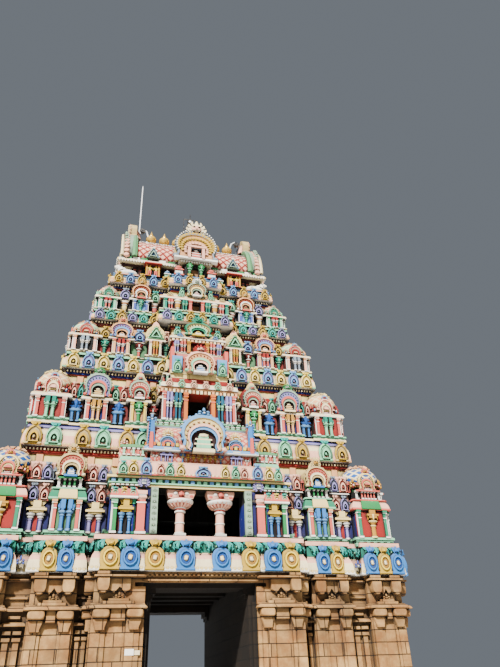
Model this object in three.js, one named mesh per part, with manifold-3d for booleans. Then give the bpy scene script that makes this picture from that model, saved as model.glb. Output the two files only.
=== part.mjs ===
// A four-storey temple gateway tower with a stone ground storey, a barrel roof and seven finials.
// Millimetres, +Z up. X runs along the front, +Y into the building. The origin is on the ground,
// at the middle of the footprint.
import * as THREE from 'three';
import { mergeVertices } from 'three/addons/utils/BufferGeometryUtils.js';
import Module from 'manifold-3d';

const wasm = await Module();
wasm.setup();

// Passage through the ground storey
const PASSAGE_HALF = 1940;
const PASSAGE_TOP = 5250;
const DOOR_REBATE_HALF = 2200;
const DOOR_REBATE_TOP = 5400;
const DOOR_PLANE = 4400;
const LINTEL_BEARING = 2600;
const LINTEL_DEPTH = 1100;

// Levels of the ground storey and its cornice
const BASE_TOP = 5760;
const FRIEZE_TOP = 7000;

// Neck and barrel roof
const NECK_FLOOR = 22150;
const EAVE_BOTTOM = 23150;
const EAVE_TOP = 23400;
const EAVE_HALF = 4390;
const EAVE_DEPTH = 1650;
const RIDGE = 25750;
const ROOF_HALF = 1600;
const BARREL_HALF = 3360;
const GABLE_OUTER = 4060;
const CREST_TOP = 27370;

// Finials
const FINIAL_PITCH = 820;
const FINIAL_COUNT = 7;
const FINIAL_TOP = 27080;

// A plan is read from the middle of a face outwards: each bay ends at `to` and stands at `plane`.
// The last bay of the front and of the side meet at the corner shrine.
const GROUND = {
  front: [{ to: 4100, plane: 4800 }, { to: 4700, plane: 4050 }, { to: 6350, plane: 4350 },
    { to: 7250, plane: 4000 }, { to: 8800, plane: 4300 }],
  side: [{ to: 1700, plane: 9000 }, { to: 2800, plane: 8450 }, { to: 4300, plane: 8800 }],
};
const TIERS = [
  {
    floor: 7000, base: 7270, eave: 8600, slab: 8850, parapet: 9580, band: 11120,
    front: [{ to: 3800, plane: 4550 }, { to: 4860, plane: 3800 }, { to: 6050, plane: 4150 },
      { to: 7150, plane: 3800 }, { to: 8700, plane: 4200 }],
    side: [{ to: 1500, plane: 8850 }, { to: 2650, plane: 8350 }, { to: 4200, plane: 8700 }],
    wall: { x: 7400, y: 3150, bayX: 2000, bayY: 3650, sideY: 1100, sideX: 7500 },
    room: { x: 6500, y: 2300, bayX: 3000, bayY: 3650, bayTop: 9500 },
    opening: { half: 1860, sill: 7200, head: 9140 },
    bay: { lintel: 9540, top: 10220, half: 3600, lip: 4850 },
    dome: { r: 760, top: 10930 },
    nasi: { at: [5455], half: 570, base: 9560, top: 10500, crest: 10950, plane: 4200 },
  },
  {
    floor: 12300, base: 12750, eave: 13600, slab: 13820, parapet: 14050, band: 15420,
    front: [{ to: 1800, plane: 3750 }, { to: 2400, plane: 2900 }, { to: 3200, plane: 3250 },
      { to: 4200, plane: 2850 }, { to: 5250, plane: 3150 }, { to: 6030, plane: 2850 },
      { to: 7450, plane: 3200 }],
    side: [{ to: 1000, plane: 7600 }, { to: 1780, plane: 7150 }, { to: 3200, plane: 7450 }],
    wall: { x: 6200, y: 2380, bayX: 1500, bayY: 3000, sideY: 800, sideX: 6300 },
    room: { x: 5400, y: 1600, bayX: 1200, bayY: 2950, bayTop: 14150 },
    opening: { half: 530, sill: 12700, head: 13950 },
    bay: { lintel: 14210, top: 14500, half: 1850, lip: 3950 },
    dome: { r: 690, top: 15200 },
    middle: { half: 700, base: 15000, top: 16170, crest: 16540, plane: 3990, back: 3430, roof: 1450, ridge: 16340 },
    nasi: { at: [2800, 4725], half: 560, base: 13800, top: 14900, crest: 15250, plane: 3200 },
  },
  {
    floor: 16250, base: 16490, eave: 17290, slab: 17450, parapet: 17600, band: 18720,
    front: [{ to: 1280, plane: 3200 }, { to: 1780, plane: 2350 }, { to: 2450, plane: 2650 },
      { to: 3380, plane: 2250 }, { to: 4300, plane: 2500 }, { to: 4980, plane: 2250 },
      { to: 6250, plane: 2500 }],
    side: [{ to: 700, plane: 6350 }, { to: 1230, plane: 5950 }, { to: 2500, plane: 6250 }],
    wall: { x: 5150, y: 1850, bayX: 1250, bayY: 2350, sideY: 600, sideX: 5250 },
    room: { x: 4400, y: 1150, bayX: 900, bayY: 2350, bayTop: 17300 },
    opening: { half: 345, sill: 16530, head: 17140 },
    bay: { lintel: 17370, top: 17520, half: 1300, lip: 3320 },
    dome: { r: 600, top: 18520 },
    middle: { half: 660, base: 17520, top: 18310, crest: 18720, plane: 3270, back: 2950 },
    nasi: { at: [2115, 3840], half: 520, base: 17480, top: 18330, crest: 18680, plane: 2560 },
  },
  {
    floor: 19300, base: 19440, eave: 20140, slab: 20280, parapet: 20400, band: 21410,
    front: [{ to: 1840, plane: 2600 }, { to: 2520, plane: 1800 }, { to: 3420, plane: 2050 },
      { to: 4200, plane: 1750 }, { to: 5220, plane: 1950 }],
    side: [{ to: 450, plane: 5300 }, { to: 930, plane: 4950 }, { to: 1950, plane: 5220 }],
    wall: { x: 4350, y: 1550, bayX: 1300, bayY: 2050, sideY: 400, sideX: 4420 },
    room: { x: 3650, y: 900, bayX: 1200, bayY: 1850, bayTop: 20200 },
    opening: { half: 220, sill: 19470, head: 20110 },
    bay: { lintel: 20310, top: 20460, half: 1830, lip: 2700 },
    dome: { r: 500, top: 21240 },
    middle: { half: 520, base: 20460, top: 21290, crest: 21600, plane: 2700, back: 2490 },
    nasi: { at: [2970], half: 510, base: 20320, top: 21150, crest: 21620, plane: 2080 },
  },
];
// Clear space between a crest and the cornice behind it
const CREST_GAP = 30;

// Each cornice slab carries the tier above it, with a curved lip and a fillet over the curve
const SLABS = [
  { name: 'cornice_1', bottom: 5760, top: 6460, floor: 7000, lip: 250, front: GROUND.front, side: GROUND.side },
  { name: 'cornice_2', bottom: 11120, top: 11900, floor: 12300, x: 7680, y: 3450, bayX: 2050, bayY: 3950 },
  { name: 'cornice_3', bottom: 15420, top: 16050, floor: 16250, x: 6510, y: 2700, bayX: 1480, bayY: 3400 },
  { name: 'cornice_4', bottom: 18720, top: 19150, floor: 19300, x: 5460, y: 2140, bayX: 2020, bayY: 2780 },
  { name: 'cornice_5', bottom: 21410, top: 21880, floor: 22150, x: 4700, y: 1880, bayX: 1480, bayY: 2450 },
];

// Turns a three.js geometry into a solid that can be cut and joined.
function solid(geometry) {
  const bare = new THREE.BufferGeometry();
  bare.setAttribute('position', geometry.attributes.position.clone());
  if (geometry.index) bare.setIndex(geometry.index.clone());
  const merged = mergeVertices(bare, 0.01);
  return new wasm.Manifold(new wasm.Mesh({
    numProp: 3,
    vertProperties: new Float32Array(merged.attributes.position.array),
    triVerts: new Uint32Array(merged.index.array),
  }));
}

// An axis-aligned block between two corners.
function block(x0, x1, y0, y1, z0, z1) {
  const g = new THREE.BoxGeometry(x1 - x0, y1 - y0, z1 - z0);
  g.translate((x0 + x1) / 2, (y0 + y1) / 2, (z0 + z1) / 2);
  return solid(g);
}

// Joins a list of solids.
const join = (list) => list.reduce((sum, next) => sum.add(next));

// The same solid on the other side of the middle plane x = 0.
const acrossX = (s) => s.mirror([1, 0, 0]);
// The same solid on the back face.
const acrossY = (s) => s.mirror([0, 1, 0]);
// The solid, its left-right twin, and both again on the back.
const fourTimes = (s) => { const pair = s.add(acrossX(s)); return pair.add(acrossY(pair)); };
const twiceY = (s) => s.add(acrossY(s));

// Corner points of a stepped plan, grown outwards by `grow`.
function planPoints(plan, grow) {
  const quarter = [];
  const edge = (bays, i) => {
    const next = bays[i + 1];
    return bays[i].to + (next && next.plane > bays[i].plane ? -grow : grow);
  };
  plan.front.forEach((bay, i) => {
    const start = i === 0 ? 0 : edge(plan.front, i - 1);
    if (i > 0) quarter.push([start, bay.plane + grow]);
    if (i < plan.front.length - 1) quarter.push([edge(plan.front, i), bay.plane + grow]);
  });
  const corner = [plan.front.at(-1).to + grow, plan.front.at(-1).plane + grow];
  quarter.push(corner);
  for (let i = plan.side.length - 1; i > 0; i -= 1) {
    const at = edge(plan.side, i - 1);
    quarter.push([plan.side[i].plane + grow, at], [plan.side[i - 1].plane + grow, at]);
  }
  return quarter;
}

// The closed loop of a plan from its quarter.
function loop(quarter) {
  const back = quarter.map(([x, y]) => [x, -y]).reverse();
  const right = [...quarter.map(([x, y]) => [x, y]), ...back];
  const left = right.map(([x, y]) => [-x, y]).reverse();
  return [...right, ...left].map(([x, y]) => new THREE.Vector2(x, y));
}

// A straight-sided prism over a plan loop.
function prism(points, z0, z1) {
  const g = new THREE.ExtrudeGeometry(new THREE.Shape(points), { depth: z1 - z0, bevelEnabled: false });
  g.translate(0, 0, z0);
  return solid(g);
}

// A drooping curved cornice: full width at the lip, drawn in by `reach` at the top.
function kapota(points, z0, z1, reach, segments = 2) {
  const lip = Math.min(90, (z1 - z0) / 4);
  const rise = z1 - z0 - lip;
  const g = new THREE.ExtrudeGeometry(new THREE.Shape(points), {
    depth: 2 * lip, bevelEnabled: true, bevelThickness: rise, bevelSize: reach,
    bevelOffset: -reach, bevelSegments: segments,
  });
  g.translate(0, 0, z0 - lip);
  const whole = solid(g);
  return whole.intersect(block(-12000, 12000, -9000, 9000, z0, z1 + 10));
}

const planLoop = (plan, grow) => loop(planPoints(plan, grow));

// A cross-shaped loop: a long rectangle with a middle bay on the front and back.
function cross(x, y, bayX, bayY) {
  return loop([[bayX, bayY], [bayX, y], [x, y]]);
}

// A turned shape about a vertical line; the profile runs from the axis out and back to it.
function turned(profile, x, y, segments) {
  const g = new THREE.LatheGeometry(profile.map(([r, z]) => new THREE.Vector2(r, z)), segments);
  g.rotateX(Math.PI / 2);
  g.rotateZ(Math.PI / segments);
  g.translate(x, y, 0);
  return solid(g);
}

// A horseshoe arch with a pointed crest, flat on the XZ plane, from y = near back to y = far.
function horseshoe(half, base, top, crest, x, near, far) {
  const spring = base + (top - base) * 0.4;
  const right = [[half * 0.88, base], [half, spring], [half * 0.82, spring + (top - spring) * 0.6],
    [half * 0.42, top], [half * 0.26, crest - (crest - top) * 0.4]];
  const left = right.map(([u, z]) => [-u, z]).reverse();
  const s = new THREE.Shape([...right, [0, crest], ...left].map(([u, z]) => new THREE.Vector2(u, z)));
  const g = new THREE.ExtrudeGeometry(s, { depth: far - near, bevelEnabled: false });
  g.rotateX(Math.PI / 2);
  g.translate(x, far, 0);
  return solid(g);
}

// Wall pilasters on one quarter of a plan: one at each end of every standing bay.
function frontPilasters(plan, width, proud, z0, z1, capped = false) {
  const out = [];
  plan.front.forEach((bay, i) => {
    const from = i === 0 ? 0 : plan.front[i - 1].to;
    const recessed = i > 0 && bay.plane < plan.front[i - 1].plane;
    if (recessed) return;
    const ends = i === 0 ? [bay.to - width] : [from + 60, bay.to - width - 60];
    ends.forEach((x) => {
      out.push(block(x, x + width, -bay.plane - proud, -bay.plane + 100, z0, z1));
      if (capped) {
        out.push(block(x - 50, x + width + 50, -bay.plane - proud - 50, -bay.plane + 100, z1 - 180, z1));
      }
    });
  });
  return join(out);
}

// The outline of a barrel-roof section: y against z, swelling a little above the springing.
function barrelPoints(half, base, top, grow = 0) {
  const rise = top - base;
  return [[half * 0.86, 0], [half * 0.98, rise * 0.16], [half, rise * 0.32], [half * 0.93, rise * 0.52],
    [half * 0.74, rise * 0.72], [half * 0.46, rise * 0.88], [half * 0.16, rise * 0.985]]
    .map(([y, z]) => [y + (z > 0 ? grow : 0), base + z + (z > rise * 0.6 ? grow : 0)]);
}

// A barrel roof along X with the given half depth, from x0 to x1.
function barrel(half, base, top, x0, x1, y, grow = 0) {
  const right = barrelPoints(half, base, top, grow);
  const s = new THREE.Shape([...right.map(([a, z]) => new THREE.Vector2(z, a)),
    ...right.reverse().map(([a, z]) => new THREE.Vector2(z, -a))]);
  const g = new THREE.ExtrudeGeometry(s, { depth: x1 - x0, bevelEnabled: false });
  g.rotateY(Math.PI / 2);
  g.scale(1, 1, -1);
  g.index = null;
  g.translate(x0, y, 0);
  return flipped(g);
}

// A solid from a geometry whose faces were turned inside out by a mirror.
function flipped(g) {
  const p = g.attributes.position;
  for (let i = 0; i < p.count; i += 3) {
    for (const k of ['X', 'Y', 'Z']) {
      const a = p[`get${k}`](i + 1);
      p[`set${k}`](i + 1, p[`get${k}`](i + 2));
      p[`set${k}`](i + 2, a);
    }
  }
  return solid(g);
}

// What stands on the middle bay: a horseshoe gable, with a small barrel roof behind it where there is one.
function middleCrown(t) {
  const m = t.middle;
  const parts = [
    horseshoe(m.half, m.base, m.top, m.crest, 0, -m.plane, -m.plane + 200),
    block(-m.half * 0.7, m.half * 0.7, -m.plane + 150, -t.wall.bayY + 50, t.bay.top - 60, m.base + 200),
    block(-m.half * 0.7, m.half * 0.7, -m.plane + 150, -m.back, m.base, m.top - 200),
  ];
  if (m.roof) {
    const roof = barrel(m.plane - m.back - 80, m.base, m.ridge, -m.roof + 120, m.roof - 120, -m.back);
    parts.push(roof.intersect(block(-m.roof, m.roof, -6000, -m.back, m.base, m.ridge + 100)));
    parts.push(block(-m.roof + 60, m.roof - 60, -m.plane + 170, -t.wall.bayY + 50, t.bay.top - 60, m.base + 20));
    [-m.roof, m.roof - 180].forEach((x) => {
      parts.push(block(x, x + 180, -m.plane + 90, -m.back, m.base - 20, m.ridge + 120));
    });
  }
  return join(parts);
}

// The whole masonry of a tier: wall, mouldings, pilasters, parapet of small shrines and inner wall.
// `above` is the cornice slab that rests on the tier.
function tierMass(t, above) {
  const corner = t.front.at(-1);
  const width = corner.to - t.front.at(-2).to;
  const reach = 140;
  const parts = [
    prism(planLoop(t, 0), t.floor, t.eave + 20),
    prism(planLoop(t, 80), t.floor, t.base),
    kapota(planLoop(t, reach), t.eave, t.slab, reach, 1),
    prism(planLoop(t, -120), t.slab - 20, t.parapet),
    prism(cross(t.wall.x, t.wall.y, t.wall.bayX, t.wall.bayY), t.parapet - 30, t.band),
    fourTimes(frontPilasters(t, 230, 70, t.base - 20, t.eave + 10)),
  ];
  const cx = corner.to - width / 2;
  const cy = corner.plane - width / 2;
  const r = t.dome.r;
  const rise = t.dome.top - t.parapet;
  const dome = turned([[0, t.parapet - 40], [r * 0.92, t.parapet - 40], [r * 0.92, t.parapet + rise * 0.1],
    [r * 1.1, t.parapet + rise * 0.32], [r * 0.95, t.parapet + rise * 0.62], [r * 0.34, t.parapet + rise * 0.8],
    [0, t.dome.top]], cx, -cy, 8);
  parts.push(fourTimes(dome));
  t.nasi.at.forEach((x) => {
    const n = t.nasi;
    parts.push(fourTimes(horseshoe(n.half, n.base, n.top, n.crest, x, -n.plane, -n.plane + 420)));
    parts.push(fourTimes(block(x - n.half * 0.8, x + n.half * 0.8, -n.plane + 200, -t.wall.y + 60,
      t.parapet - 60, n.top - 150)));
  });
  // The middle bay: a taller block with its own cornice, over the opening
  const b = t.bay;
  parts.push(prism(cross(b.half, 100, b.half - 10, t.front[0].plane), t.eave - 50, b.lintel + 20));
  parts.push(kapota(loop([[b.half, b.lip]]), b.lintel, b.top, Math.min(220, b.lip - t.front[0].plane + 60), 2));
  if (t.middle) parts.push(twiceY(middleCrown(t)));
  // The side bay: a block with a horseshoe front
  const side = t.side[0];
  const sideTop = t.parapet + rise * 0.75;
  const sideBlock = join([
    block(t.wall.x - 60, side.plane - 200, -side.to + 120, side.to - 120, t.parapet - 40, sideTop - 100),
    horseshoe(side.to * 0.8, t.parapet - 40, sideTop, t.dome.top, 0, -side.plane - 20, -side.plane + 300)
      .rotate([0, 0, 90]),
  ]);
  parts.push(sideBlock.add(acrossX(sideBlock)));
  let mass = join(parts);
  // The room and its bay towards the opening, then the opening itself
  const room = t.room;
  mass = mass.subtract(block(-room.x, room.x, -room.y, room.y, t.floor - 10, t.band + 10));
  mass = mass.subtract(block(-room.bayX, room.bayX, -room.bayY, room.bayY, t.floor - 10, room.bayTop));
  const o = t.opening;
  mass = mass.subtract(block(-o.half, o.half, -6000, 6000, o.sill, o.head));
  // Crests that stand taller than the band stop short of the cornice behind them
  return mass.subtract(prism(cross(above.x + CREST_GAP, above.y + CREST_GAP, above.bayX + CREST_GAP,
    above.bayY + CREST_GAP), t.band, above.floor + 500));
}

// A cornice slab: curved lip, two fillets and the floor of the tier above.
function slabMass(s) {
  const lower = s.front ? planLoop(s, s.lip) : cross(s.x, s.y, s.bayX, s.bayY);
  const draw = s.front ? 200 : 170;
  const upper = s.front ? planLoop(s, s.lip - draw - 20) : cross(s.x - draw - 20, s.y - draw - 20,
    s.bayX - draw - 20, s.bayY - draw - 20);
  return join([kapota(lower, s.bottom, s.top, draw, 3), prism(upper, s.top - 20, s.floor)]);
}

const group = new THREE.Group();

// Adds a solid to the part under a name, with its own material.
function add(name, mass, colour, roughness = 0.85, metalness = 0) {
  const m = mass.getMesh();
  const g = new THREE.BufferGeometry();
  g.setAttribute('position', new THREE.BufferAttribute(new Float32Array(m.vertProperties), m.numProp));
  g.setIndex(new THREE.BufferAttribute(new Uint32Array(m.triVerts), 1));
  const material = new THREE.MeshStandardMaterial({ color: colour, roughness, metalness });
  material.name = name;
  const mesh = new THREE.Mesh(g, material);
  mesh.name = name;
  group.add(mesh);
}

const GRANITE = 0x8a6f55;
const SHADED_STONE = 0x6f5a47;
const PLASTERS = [0xd9b7a8, 0xd8c0a6, 0xcfb5b0, 0xd6bfae];
const CORNICES = [0xe0bdb6, 0xe6cfc0, 0xe8d6c2, 0xe2c2bc, 0xe6d8cf];
const GOLD = 0xc8963c;
const DARK_METAL = 0x2c2c30;
const TIMBER = 0x6d4526;

// Ground storey: two masonry piers on either side of the passage
function groundMass() {
  const parts = [prism(planLoop(GROUND, 0), 0, BASE_TOP)];
  [[110, 350], [60, 900], [130, 1150]].forEach(([grow, top], i) => {
    parts.push(prism(planLoop(GROUND, grow), i === 2 ? 900 : 0, top));
  });
  parts.push(kapota(planLoop(GROUND, 170), 4480, 4660, 100, 1));
  parts.push(fourTimes(frontPilasters(GROUND, 340, 90, 1100, 4490, true)));
  [2560].forEach((x) => {
    parts.push(fourTimes(block(x, x + 300, -4890, -4700, 1100, 4490)));
  });
  let mass = join(parts);
  mass = mass.subtract(block(-PASSAGE_HALF, PASSAGE_HALF, -7000, 7000, -10, BASE_TOP + 10));
  const rebate = block(-DOOR_REBATE_HALF, DOOR_REBATE_HALF, -7000, -DOOR_PLANE, -10, DOOR_REBATE_TOP);
  mass = mass.subtract(twiceY(rebate));
  // Seats for the lintels
  const seat = block(-LINTEL_BEARING, LINTEL_BEARING, -7000, -DOOR_PLANE + LINTEL_DEPTH, PASSAGE_TOP,
    BASE_TOP + 10);
  mass = mass.subtract(twiceY(seat));
  // A stepped corbel under each lintel end
  const corbel = join([
    block(-PASSAGE_HALF - 100, -PASSAGE_HALF + 190, -DOOR_PLANE + 60, -DOOR_PLANE + LINTEL_DEPTH - 60, 5040,
      PASSAGE_TOP),
    block(-PASSAGE_HALF - 100, -PASSAGE_HALF + 90, -DOOR_PLANE + 120, -DOOR_PLANE + LINTEL_DEPTH - 120, 4880,
      5100),
  ]);
  return mass.add(fourTimes(corbel));
}

const ground = groundMass();
const westHalf = block(-12000, 0, -9000, 9000, -100, 9000);
add('pier_left', ground.intersect(westHalf), GRANITE, 0.9);
add('pier_right', ground.subtract(westHalf), GRANITE, 0.9);

const lintel = join([
  block(-LINTEL_BEARING, LINTEL_BEARING, -DOOR_PLANE, -DOOR_PLANE + LINTEL_DEPTH, PASSAGE_TOP, BASE_TOP),
  block(-LINTEL_BEARING, LINTEL_BEARING, -4800, -DOOR_PLANE + 10, DOOR_REBATE_TOP, BASE_TOP),
]);
add('lintel_front', lintel, SHADED_STONE, 0.9);
add('lintel_back', acrossY(lintel), SHADED_STONE, 0.9);

// A ball stretched along the axes.
function ellipsoid(x, y, z, rx, ry, rz) {
  const g = new THREE.SphereGeometry(1, 8, 5);
  g.scale(rx, ry, rz);
  g.translate(x, y, z);
  return solid(g);
}

// What stands on the top ledge: a reclining bull near each corner and a little spire beside the middle bay
function ledgeFigures(floor) {
  const bull = join([
    block(3250, 4350, -1670, -1290, floor - 20, floor + 60),
    ellipsoid(3800, -1480, floor + 230, 570, 185, 240),
    ellipsoid(4170, -1480, floor + 400, 190, 110, 250),
    ellipsoid(4330, -1480, floor + 560, 160, 100, 130),
  ]);
  const spire = turned([[0, floor - 20], [230, floor - 20], [230, floor + 300], [280, floor + 360],
    [120, floor + 600], [0, floor + 790]], 1010, -2100, 4);
  return fourTimes(bull.add(spire));
}

SLABS.forEach((s, i) => {
  const mass = slabMass(s);
  add(s.name, s.name === 'cornice_5' ? mass.add(ledgeFigures(s.floor)) : mass, CORNICES[i]);
});

TIERS.forEach((t, i) => {
  const mass = tierMass(t, SLABS[i + 1]);
  const frontHalf = block(-12000, 12000, -9000, 0, t.floor - 200, t.band + 2000);
  add(`tier_${i + 1}_front`, mass.intersect(frontHalf), PLASTERS[i]);
  add(`tier_${i + 1}_back`, mass.subtract(frontHalf), PLASTERS[i]);
});

// Small barrel roof over the first tier's opening, with a big horseshoe gable in front
function shalaMass() {
  const back = -3980;
  const roof = barrel(640, 10770, 12100, -2300, 2300, -3960).intersect(
    block(-3000, 3000, -6000, back, 10000, 13000));
  return join([
    block(-2250, 2250, -4520, back, 10220, 10790),
    roof,
    block(-2400, -2150, -4600, back, 10700, 12150),
    block(2150, 2400, -4600, back, 10700, 12150),
    horseshoe(1100, 10700, 12180, 12560, 0, -4780, -4380),
    block(-3560, -2380, -4450, back, 10220, 11000),
    block(2380, 3560, -4450, back, 10220, 11000),
  ]);
}
add('shala_front', shalaMass(), 0xd8a493);
add('shala_back', acrossY(shalaMass()), 0xd8a493);

// Round pillars in the first tier's opening, each with a lotus cup under its bracket
function pillar(x) {
  const shaft = [[0, 7340], [190, 7340], [180, 8240], [225, 8260], [225, 8400], [250, 8410], [540, 8600],
    [560, 8690], [430, 8750], [0, 8750]];
  return join([
    block(x - 230, x + 230, -4430, -3970, 7200, 7350),
    turned(shaft, x, -4200, 8),
    block(x - 625, x + 625, -4460, -3940, 8740, 9140),
  ]);
}
[-860, 860].forEach((x, i) => {
  const side = i === 0 ? 'left' : 'right';
  add(`pillar_front_${side}`, pillar(x), 0xe0b6b0);
  add(`pillar_back_${side}`, acrossY(pillar(x)), 0xe0b6b0);
});

// Closed timber shutters
[[3, TIERS[2].opening, 2900], [4, TIERS[3].opening, 2300]].forEach(([n, o, y]) => {
  const leaf = block(-o.half, o.half, -y, -y + 60, o.sill, o.head);
  add(`shutter_${n}_front`, leaf, TIMBER, 0.7);
  add(`shutter_${n}_back`, acrossY(leaf), TIMBER, 0.7);
});

// Neck under the roof
const NECK_DOOR = { half: 210, top: 22930 };
function neckMass() {
  const parts = [
    prism(cross(3500, 1250, 600, 2150), NECK_FLOOR, EAVE_BOTTOM),
    fourTimes(block(2050, 2760, -1720, -1150, NECK_FLOOR, EAVE_BOTTOM)),
  ];
  return join(parts)
    .subtract(block(-2900, 2900, -700, 700, NECK_FLOOR - 10, EAVE_BOTTOM + 10))
    .subtract(block(-NECK_DOOR.half, NECK_DOOR.half, -3000, 3000, NECK_FLOOR + 60, NECK_DOOR.top));
}
const neck = neckMass();
const neckFrontHalf = block(-6000, 6000, -6000, 0, NECK_FLOOR - 100, EAVE_BOTTOM + 100);
add('neck_front', neck.intersect(neckFrontHalf), 0xcaa890);
add('neck_back', neck.subtract(neckFrontHalf), 0xcaa890);
const neckLeaf = block(-NECK_DOOR.half, NECK_DOOR.half, -1900, -1840, NECK_FLOOR + 60, NECK_DOOR.top);
add('neck_door_front', neckLeaf, TIMBER, 0.7);
add('neck_door_back', acrossY(neckLeaf), TIMBER, 0.7);

// Eave slab, barrel roof and its ends
add('eave_slab', join([
  prism(cross(EAVE_HALF, EAVE_DEPTH, 900, 2250), EAVE_BOTTOM, EAVE_TOP),
]), 0xe6d5b8);
add('barrel_roof', barrel(ROOF_HALF, EAVE_TOP, RIDGE, -BARREL_HALF, BARREL_HALF, 0), 0xd99f97);
function gable() {
  const plate = barrel(1640, EAVE_TOP, RIDGE + 550, BARREL_HALF, GABLE_OUTER, 0);
  const crest = new THREE.Shape([[RIDGE + 400, 620], [RIDGE + 800, 700], [RIDGE + 1300, 420],
    [CREST_TOP, 0], [RIDGE + 1300, -420], [RIDGE + 800, -700], [RIDGE + 400, -620], [25200, -900],
    [25200, 900]].map(([z, y]) => new THREE.Vector2(z, y)));
  const g = new THREE.ExtrudeGeometry(crest, { depth: 430, bevelEnabled: false });
  g.rotateY(Math.PI / 2);
  g.scale(1, 1, -1);
  g.translate(BARREL_HALF + 60, 0, 0);
  const flare = new THREE.Shape([[BARREL_HALF + 200, EAVE_TOP], [EAVE_HALF - 90, EAVE_TOP],
    [EAVE_HALF - 140, EAVE_TOP + 180], [GABLE_OUTER + 120, EAVE_TOP + 620], [GABLE_OUTER, EAVE_TOP + 1400],
    [BARREL_HALF + 200, EAVE_TOP + 1400]].map(([x, z]) => new THREE.Vector2(x, z)));
  const f = new THREE.ExtrudeGeometry(flare, { depth: 2600, bevelEnabled: false });
  f.rotateX(Math.PI / 2);
  f.translate(0, 1300, 0);
  return join([plate, flipped(g), solid(f)]);
}
add('gable_right', gable(), 0xb9bfae);
add('gable_left', acrossX(gable()), 0xb9bfae);

// Big horseshoe gables on the front and back of the roof
const roofSkin = barrel(ROOF_HALF, EAVE_TOP, RIDGE, -BARREL_HALF, BARREL_HALF, 0);
const nasi = horseshoe(1260, EAVE_TOP, 25230, 26260, 0, -2250, -1900)
  .add(block(-950, 950, -1950, -1000, EAVE_TOP, 25000))
  .subtract(roofSkin);
add('big_nasi_front', nasi, 0xd9a45f);
add('big_nasi_back', acrossY(nasi), 0xd9a45f);

// Finials on the ridge
const RIDGE_FLAT = EAVE_TOP + (RIDGE - EAVE_TOP) * 0.985 + 0.5;
for (let i = 0; i < FINIAL_COUNT; i += 1) {
  const x = (i - (FINIAL_COUNT - 1) / 2) * FINIAL_PITCH;
  const z = RIDGE_FLAT;
  const h = FINIAL_TOP - z;
  add(`finial_${i + 1}`, turned([[0, z], [190, z], [110, z + h * 0.2], [230, z + h * 0.32],
    [320, z + h * 0.48], [270, z + h * 0.64], [80, z + h * 0.78], [0, FINIAL_TOP]], x, 0, 10), GOLD, 0.35, 0.8);
}

// Goose-neck flood lamps at the ends of the ridge
function ridgeLamp() {
  const path = new THREE.CatmullRomCurve3([[2960, RIDGE_FLAT + 10], [3020, RIDGE_FLAT + 500],
    [3210, RIDGE_FLAT + 950], [3240, RIDGE_FLAT + 1250], [3130, RIDGE_FLAT + 1430],
    [3030, RIDGE_FLAT + 1330]].map(([x, z]) => new THREE.Vector3(x, 0, z)));
  const ring = new THREE.Shape();
  ring.absarc(0, 0, 24, 0, Math.PI * 2);
  const neckTube = new THREE.ExtrudeGeometry(ring, { steps: 8, extrudePath: path, curveSegments: 3 });
  const head = turned([[0, 0], [90, 0], [190, 170], [190, 260], [0, 260]], 0, 0, 10)
    .rotate([75, 0, 0]).translate([3050, -60, RIDGE_FLAT + 1060]);
  return join([solid(neckTube), head,
    block(2890, 3030, -70, 70, RIDGE_FLAT, RIDGE_FLAT + 40),
    block(3000, 3070, -40, 60, RIDGE_FLAT + 1070, RIDGE_FLAT + 1360)]);
}
add('flood_lamp_right', ridgeLamp(), DARK_METAL, 0.5, 0.4);
add('flood_lamp_left', acrossX(ridgeLamp()), DARK_METAL, 0.5, 0.4);

// Lamp frame astride the middle finial, and the lightning rod
const FRAME_TOP = 28620;
add('ridge_lamp_frame', join([
  block(-430, -390, -20, 20, RIDGE_FLAT, FRAME_TOP),
  block(390, 430, -20, 20, RIDGE_FLAT, FRAME_TOP),
  block(-430, 430, -20, 20, FRAME_TOP - 60, FRAME_TOP),
  block(-430, 430, -20, 20, FRAME_TOP - 900, FRAME_TOP - 860),
  block(-25, 25, -25, 25, FRAME_TOP - 880, FRAME_TOP + 430),
  turned([[0, -90], [150, -90], [190, 0], [150, 90], [0, 90]], 0, 0, 10).rotate([90, 0, 0])
    .translate([0, 0, FRAME_TOP - 250]),
]), DARK_METAL, 0.5, 0.4);
add('lightning_rod', join([
  turned([[0, RIDGE_FLAT], [90, RIDGE_FLAT], [90, RIDGE_FLAT + 40], [0, RIDGE_FLAT + 40]], -3230, 130, 8),
  turned([[0, RIDGE_FLAT + 20], [44, RIDGE_FLAT + 20], [34, 30900], [0, 31160]], -3230, 130, 8),
]), 0xc9c9c4, 0.45, 0.6);

export default group;
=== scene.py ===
"""Dresses a four-storey temple gateway tower: granite below, painted plaster shrines above, gilt finials.

Metres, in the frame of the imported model: X along the front, +Y into the building, Z up from the ground.
"""

from __future__ import annotations

import logging
import math
from collections.abc import Callable, Iterator, Sequence
from dataclasses import dataclass, replace
from enum import Enum
from functools import cache, cached_property

import bmesh
import bpy
import numpy as np
from mathutils import Matrix, Vector


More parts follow.
